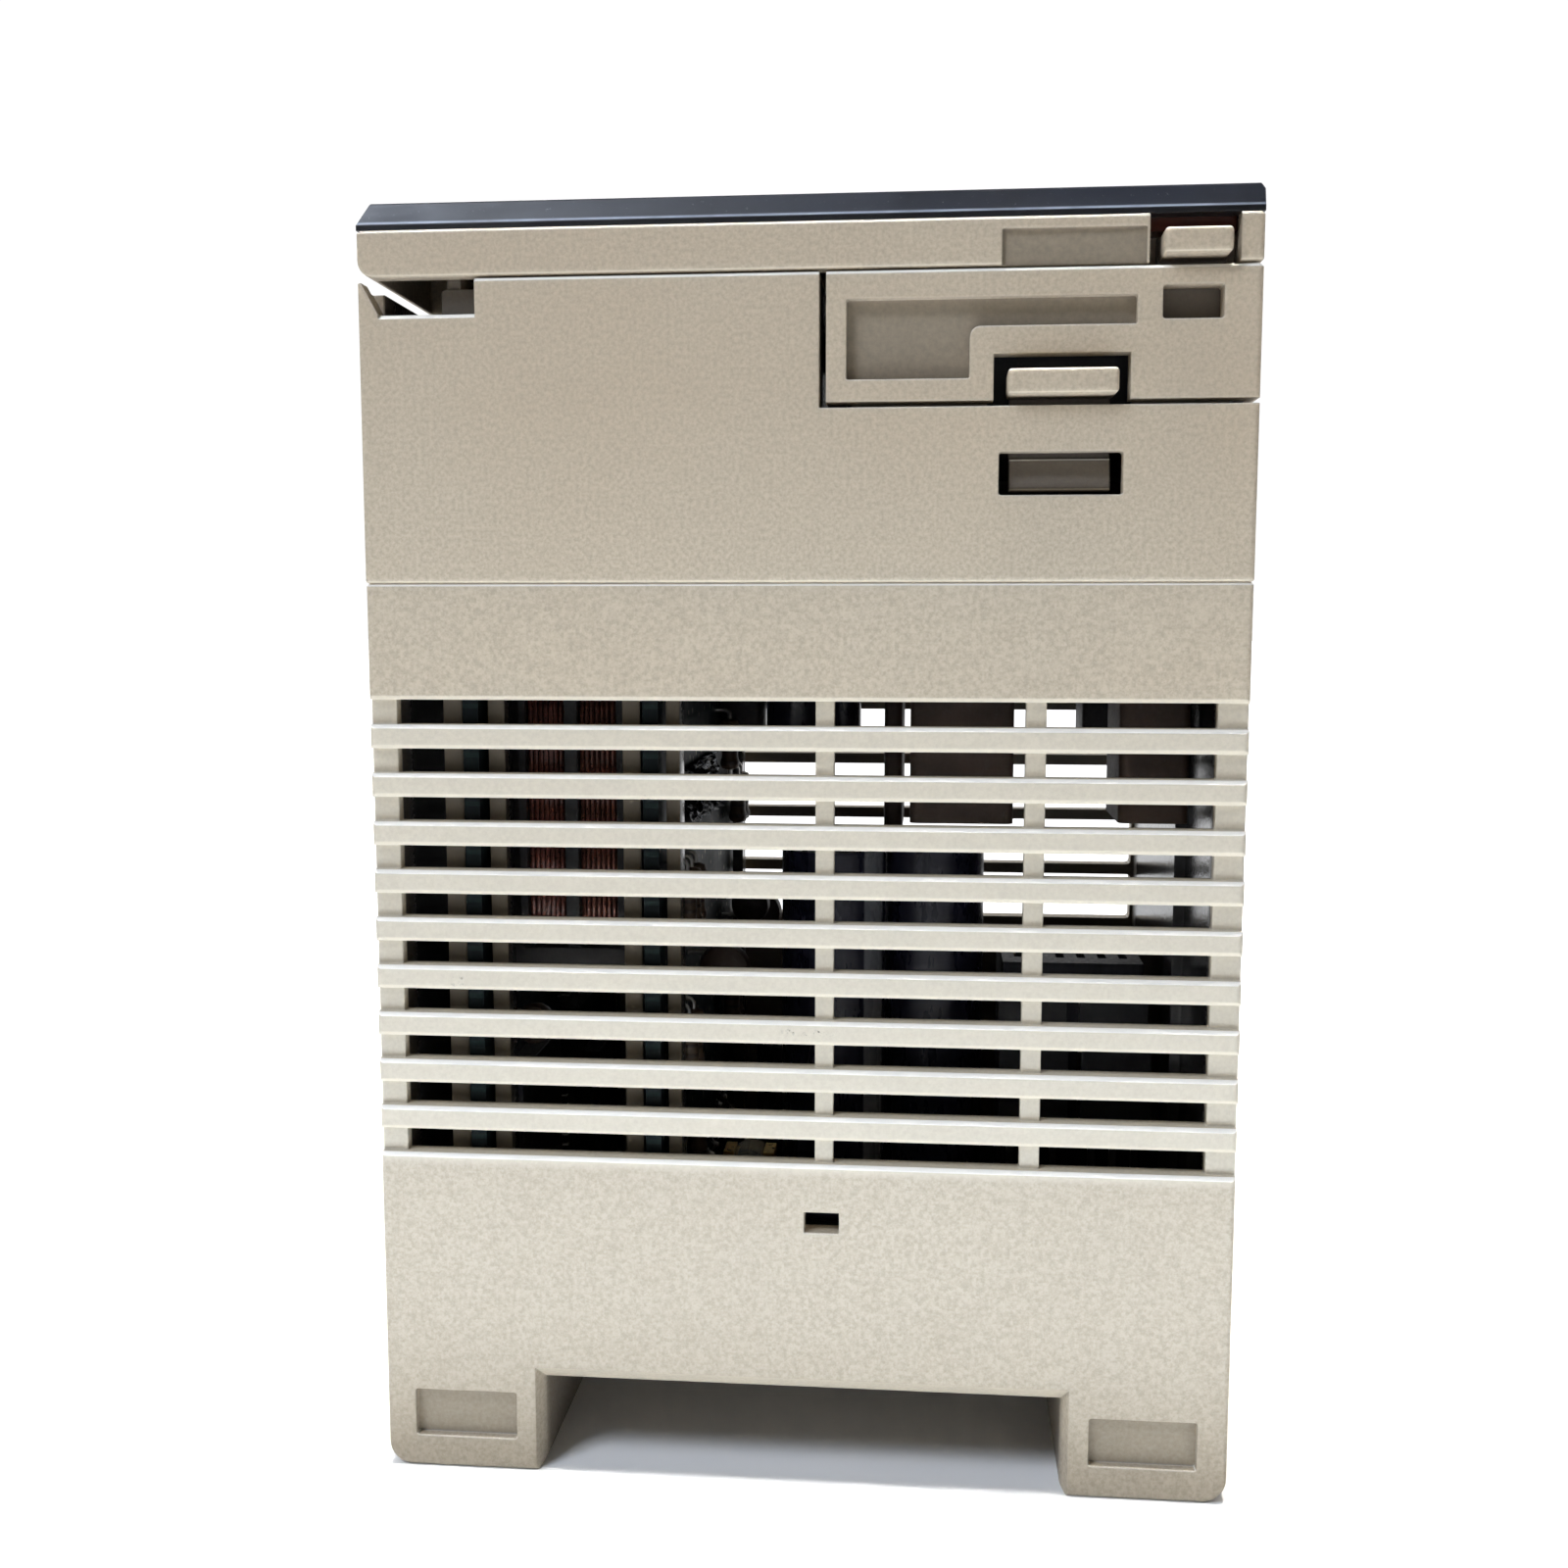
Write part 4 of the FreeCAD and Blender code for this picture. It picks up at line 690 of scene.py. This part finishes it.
def add_chip_legs(name, material):
    """Two rows of bent legs for each chip on the main board."""
    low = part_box("processor_chips")[0] / MM
    bm = bmesh.new()
    for y, z, half_y, half_z in CHIPS:
        count = int(2 * half_z / CHIP_PIN_PITCH) - 1
        for i in range(count):
            leg_z = z + (i - (count - 1) / 2) * CHIP_PIN_PITCH
            for side in (-1, 1):
                edge = y + side * half_y
                leg = ((low.x + 1.3, edge - side * 0.1, leg_z), (low.x + 1.3, edge + side * 0.5, leg_z),
                       (low.x + 0.25, edge + side * 0.75, leg_z), (low.x + 0.15, edge + side * 1.4, leg_z))
                add_tube(bm, leg, 0.17, sides=6)
    add_piece(name, bm, material)


def add_solder_joints(name, spots, material):
    """Cones of solder on the +X face of a standing board."""
    bm = bmesh.new()
    for face_x, y, z in spots:
        add_lathe(bm, SOLDER_PROFILE, (face_x, y, z), axis="X", sides=12)
    add_piece(name, bm, material)


def add_crumpled_film(name, low, high, depth, material):
    """Piece of crumpled clear film against a board: a sheet with sharp random folds, slightly thick."""
    columns, rows = 22, 14
    bm = bmesh.new()
    faces = []
    grid = []
    for i in range(columns + 1):
        line = []
        for j in range(rows + 1):
            y = low[0] + (high[0] - low[0]) * i / columns + rng.uniform(-0.2, 0.2)
            z = low[1] + (high[1] - low[1]) * j / rows + rng.uniform(-0.12, 0.12)
            x = depth[0] + (depth[1] - depth[0]) * rng.random() ** 1.5
            line.append(bm.verts.new(Vector((x, y, z)) * MM))
        grid.append(line)
    for i in range(columns):
        for j in range(rows):
            faces.append(bm.faces.new((grid[i][j], grid[i + 1][j], grid[i + 1][j + 1], grid[i][j + 1])))
    bmesh.ops.solidify(bm, geom=faces, thickness=0.12 * MM)
    add_piece(name, bm, material)


# ---- finishes on the parts ----------------------------------------------------------------
def dress(material, *names):
    """Give CAD nodes a material."""
    for name in names:
        NODES[name].data.materials.clear()
        NODES[name].data.materials.append(material)


def beige(name, finish_and_shade, painted_highlight_amount=0.95):
    """The object's beige plastic with what one moulding adds: painted light and shade, dust on the case, a
    little polish inside, and a painted highlight.
    """
    return moulded_plastic(name, BEIGE_TOP_SHADED, BEIGE_PALE, graded=True, painted_highlight_amount=painted_highlight_amount, finish_and_shade=finish_and_shade)


dress(beige("beige_case", case_dust_and_shading_paint), "lower_case")
dress(beige("beige_housing", housing_shade_paint), "upper_housing")
dress(beige("beige_cover", cover_shade_paint), "terminal_cover")
dress(beige("beige_door", door_shade_paint, painted_highlight_amount=0.4), "door_frame")
dress(beige("beige_deck", deck_shade_paint), "front_deck")
dress(beige("beige_latch", latch_shade_paint), "door_latch_near", "door_latch_far", "cover_latch_near",
      "cover_latch_far")
dress(satin_black("front_plate_black"), "front_panel")
dress(smoked_filter("smoked_filter"), "lamp_filter")
dress(dark_plastic("black_plastic", (0.012, 0.012, 0.013)), "terminal_block", "mode_switch_body",
      "battery_holder", "board_headers", "processor_chips", "power_transistors", "transformer_bobbin")
dress(dark_plastic("relay_brown", (0.052, 0.032, 0.022), rough=0.6), "relays", "film_capacitor")
dress(metal("plated_steel", (0.60, 0.60, 0.62)), "hinge_pins", "case_screws", "board_screws", "service_port",
      "coin_battery", "terminal_screws")
dress(metal("contact_brass", (0.75, 0.55, 0.22)), "service_port_pins", "fuse_clips")
dress(circuit_board("circuit_board"), "main_board", "converter_board", "front_board", "filter_board")
dress(ferrite("ferrite"), "transformer_core", "choke_core")
red_enamel = enamelled_wire("red_enamel", (0.20, 0.062, 0.045))
copper = enamelled_wire("copper_enamel", (0.21, 0.075, 0.052))
dress(red_enamel, "primary_winding")
dress(copper, "secondary_winding", "choke_winding")
for can in ("bulk_capacitors", "output_capacitors"):
    dress(capacitor_sleeve(can + "_sleeve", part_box(can)[1].z), can)
dress(metal("dark_aluminium", (0.035, 0.035, 0.04), 0.5), "heat_sink")
dress(clear_plastic("clear_plastic", (0.92, 0.92, 0.90)), "status_leds", "light_pipes", "fuse")
dress(moulded_plastic("grey_knob", GREY, GREY_PALE), "mode_switch_knob")

tinned = metal("tinned_wire", (0.55, 0.54, 0.52), 0.35)
solder = metal("solder", (0.50, 0.49, 0.47), 0.25)
epoxy = dark_plastic("dipped_epoxy", (0.024, 0.013, 0.008), rough=0.5)
dark_block = dark_plastic("dark_block", (0.016, 0.014, 0.014), rough=0.6)
wind_transformer("primary_turns", "primary_winding", red_enamel)
wind_transformer("secondary_turns", "secondary_winding", copper)
wind_choke("choke_turns", "choke_winding", copper)
main_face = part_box("main_board")[1].x / MM
converter_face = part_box("converter_board")[1].x / MM
resistor_body = dark_plastic("resistor_body", (0.06, 0.038, 0.022), 0.45)
resistor_band = dark_plastic("resistor_band", (0.03, 0.018, 0.012), 0.4)
small_can_sleeve = capacitor_sleeve("small_can_sleeve", 0.2)

# Parts on the standing boards as (y, z) or (y, z, radius), between the guide ribs.
CONVERTER_RESISTORS = ((-24.8, 60.0), (-21.6, 60.0), (-18.4, 60.0), (-24.0, 44.0), (-20.6, 44.0),
                       (14.0, 40.0), (17.2, 40.0), (24.6, 66.0), (21.2, 66.0), (-18.0, 30.0), (12.6, 74.0))
MAIN_RESISTORS = ((24.6, 62.0), (21.2, 62.0), (17.8, 62.0), (24.6, 76.0), (21.2, 76.0))
CONVERTER_DISCS = ((23.4, 50.0, 3.2), (18.6, 52.0, 2.6), (-12.0, 50.0, 3.0))
MAIN_DISCS = ((-23.4, 46.0, 2.2), (22.6, 44.0, 2.4), (-2.0, 66.0, 2.2), (4.0, 77.0, 2.2))
MAIN_JOINTS = [(y, 20.0) for y in range(-24, -2, 3)] + [(y, 82.4) for y in range(0, 26, 3)]
CONVERTER_JOINTS = [(y, z) for z in (22.0, 26.0) for y in range(-24, 25, 4)]
FRONT_BOARD_CANS = ((-5.2, 24.0, 3.9, 73.8), (1.4, 24.0, 2.4, 73.8))


def on_board(face_x, spots):
    """Board face and place of each spot."""
    return [(face_x, *spot) for spot in spots]


add_resistors("converter_resistors", on_board(converter_face, CONVERTER_RESISTORS), resistor_body,
              resistor_band, tinned)
add_resistors("main_resistors", on_board(main_face, MAIN_RESISTORS), resistor_body, resistor_band, tinned)
add_disc_capacitors("converter_discs", on_board(converter_face, CONVERTER_DISCS), epoxy, tinned)
add_disc_capacitors("main_discs", on_board(main_face, MAIN_DISCS), epoxy, tinned)
add_hanging_cans("front_board_cans", FRONT_BOARD_CANS, small_can_sleeve)
add_chip_legs("chip_legs", tinned)
joints = on_board(main_face, MAIN_JOINTS) + on_board(converter_face, CONVERTER_JOINTS)
add_solder_joints("solder_joints", joints, solder)
film = foil_film_painted_glints("crumpled_film_painted_glints")
add_crumpled_film("crumpled_film", (-16.0, 66.4), (9.0, 73.6), (-14.45, -13.0), film)
for name, low, high in (("box_capacitor", (converter_face + 0.1, 16.8, 73.8), (-9.3, 26.2, 83.6)),
                        ("hanging_filter_block", (32.6, 15.2, 73.8), (38.4, 24.7, 91.9))):
    block = bmesh.new()
    add_block(block, low, high, 0.5)
    add_piece(name, block, dark_block)


# ---- stage, lights and camera -----------------------------------------------------------
WHITE = (1.0, 1.0, 1.0)
WARM = (1.0, 0.98, 0.93)
SKY = (0.80, 0.96, 1.20)
COOL = (0.87, 0.95, 1.09)
BACKDROP_LEVEL = 1.06
ROOM_LEVEL = 0.05
SOFTBOX_POWER = 0.78
WINDOW_POWER = 3.7
BOUNCE_POWER = 0.12
GLOW_START = 0.085
GLOW_END = 0.22
GLOW_IN_FRONT = 0.08
FLOOR_HALF = 6.0

CAMERA_LENS = 36.26
CAMERA_X = 12.77
CAMERA_Z = 90.41
CAMERA_DISTANCE = 156.45
NEAR_FACE_Y = -33.9
CAMERA_DOWN = 6.033
CAMERA_TURN = 5.195


def add_floor():
    """Pale table: lit by the lamps near the object, and glowing further out so that it shows white."""
    mesh = bpy.data.meshes.new("floor")
    corners = [(x * FLOOR_HALF, y * FLOOR_HALF, 0) for x, y in ((-1, -1), (1, -1), (1, 1), (-1, 1))]
    mesh.from_pydata(corners, [], [(0, 1, 2, 3)])
    floor = bpy.data.objects.new("floor", mesh)
    bpy.context.scene.collection.objects.link(floor)
    s = Surface("pale_floor")
    paper = s.noise(60.0, 2.0)
    base = s.mix(s.ramp(paper, 0.3, 0.7), (0.86, 0.86, 0.86), (0.88, 0.88, 0.88))
    reach = s.node("ShaderNodeVectorMath", operation="LENGTH")
    s.wire(s.place, reach.inputs[0])
    s.shader.inputs["Emission Color"].default_value = (*WHITE, 1.0)
    as_light = s.ramp(s.axis(1), 0.1, 0.5, GLOW_IN_FRONT, 0.8)
    as_seen = s.math("MAXIMUM", as_light, s.node("ShaderNodeLightPath").outputs["Is Camera Ray"])
    glow = s.math("MULTIPLY", s.ramp(reach.outputs["Value"], GLOW_START, GLOW_END), as_seen)
    mesh.materials.append(s.set(Base_Color=base, Roughness=0.9, Emission_Strength=glow))


def add_softbox(name, place, target, size, power, colour, spread=180.0, glossy=True):
    """Rectangular area light aimed at a target, unseen by the camera."""
    data = bpy.data.lights.new(name, "AREA")
    data.shape = "RECTANGLE"
    data.size = size[0]
    data.size_y = size[1]
    data.energy = power
    data.color = colour
    data.spread = math.radians(spread)
    lamp = bpy.data.objects.new(name, data)
    lamp.location = place
    lamp.rotation_euler = (Vector(target) - Vector(place)).to_track_quat("-Z", "Y").to_euler()
    lamp.visible_camera = False
    lamp.visible_glossy = glossy
    bpy.context.scene.collection.objects.link(lamp)


def add_world():
    """White backdrop wherever it is seen; as a light, bright behind the object and dim in front of it."""
    world = bpy.data.worlds.new("studio")
    world.use_nodes = True
    tree = world.node_tree
    place = tree.nodes.new("ShaderNodeTexCoord")
    parts = tree.nodes.new("ShaderNodeSeparateXYZ")
    fade = tree.nodes.new("ShaderNodeMapRange")
    fade.interpolation_type = "SMOOTHSTEP"
    for key, number in (("From Min", -0.2), ("From Max", 0.6), ("To Min", ROOM_LEVEL), ("To Max", 1.0)):
        fade.inputs[key].default_value = number
    rays = tree.nodes.new("ShaderNodeLightPath")
    level = tree.nodes.new("ShaderNodeMix")
    level.inputs["B"].default_value = BACKDROP_LEVEL
    background = tree.nodes["Background"]
    background.inputs["Color"].default_value = (*WHITE, 1.0)
    tree.links.new(place.outputs["Generated"], parts.inputs[0])
    tree.links.new(parts.outputs["Y"], fade.inputs["Value"])
    tree.links.new(rays.outputs["Is Camera Ray"], level.inputs["Factor"])
    tree.links.new(fade.outputs["Result"], level.inputs["A"])
    tree.links.new(level.outputs["Result"], background.inputs["Strength"])
    bpy.context.scene.world = world


def add_camera():
    """Camera at the fitted place: its distance is from the near side of the object."""
    data = bpy.data.cameras.new("camera")
    data.sensor_width = 36.0
    data.lens = CAMERA_LENS
    data.clip_start = 0.01
    data.clip_end = 50.0
    camera = bpy.data.objects.new("camera", data)
    camera.location = (CAMERA_X * MM, (NEAR_FACE_Y - CAMERA_DISTANCE) * MM, CAMERA_Z * MM)
    camera.rotation_euler = (math.radians(90 - CAMERA_DOWN), 0.0, math.radians(CAMERA_TURN))
    bpy.context.scene.collection.objects.link(camera)
    bpy.context.scene.camera = camera


add_floor()
add_softbox("overhead", (0.03, -0.06, 1.2), (0.03, -0.06, 0.0), (0.36, 0.36), SOFTBOX_POWER, WARM,
            spread=14.0, glossy=False)
add_softbox("floor_bounce", (0.0, -0.085, 0.002), (0.0, -0.084, 1.0), (0.22, 0.07), BOUNCE_POWER, SKY,
            glossy=False)
add_softbox("window", (-0.34, -0.43, 0.66), (0.0, -0.03, 0.0), (0.22, 0.22), WINDOW_POWER, COOL)
add_world()
add_camera()
bpy.context.scene.view_settings.view_transform = "Standard"
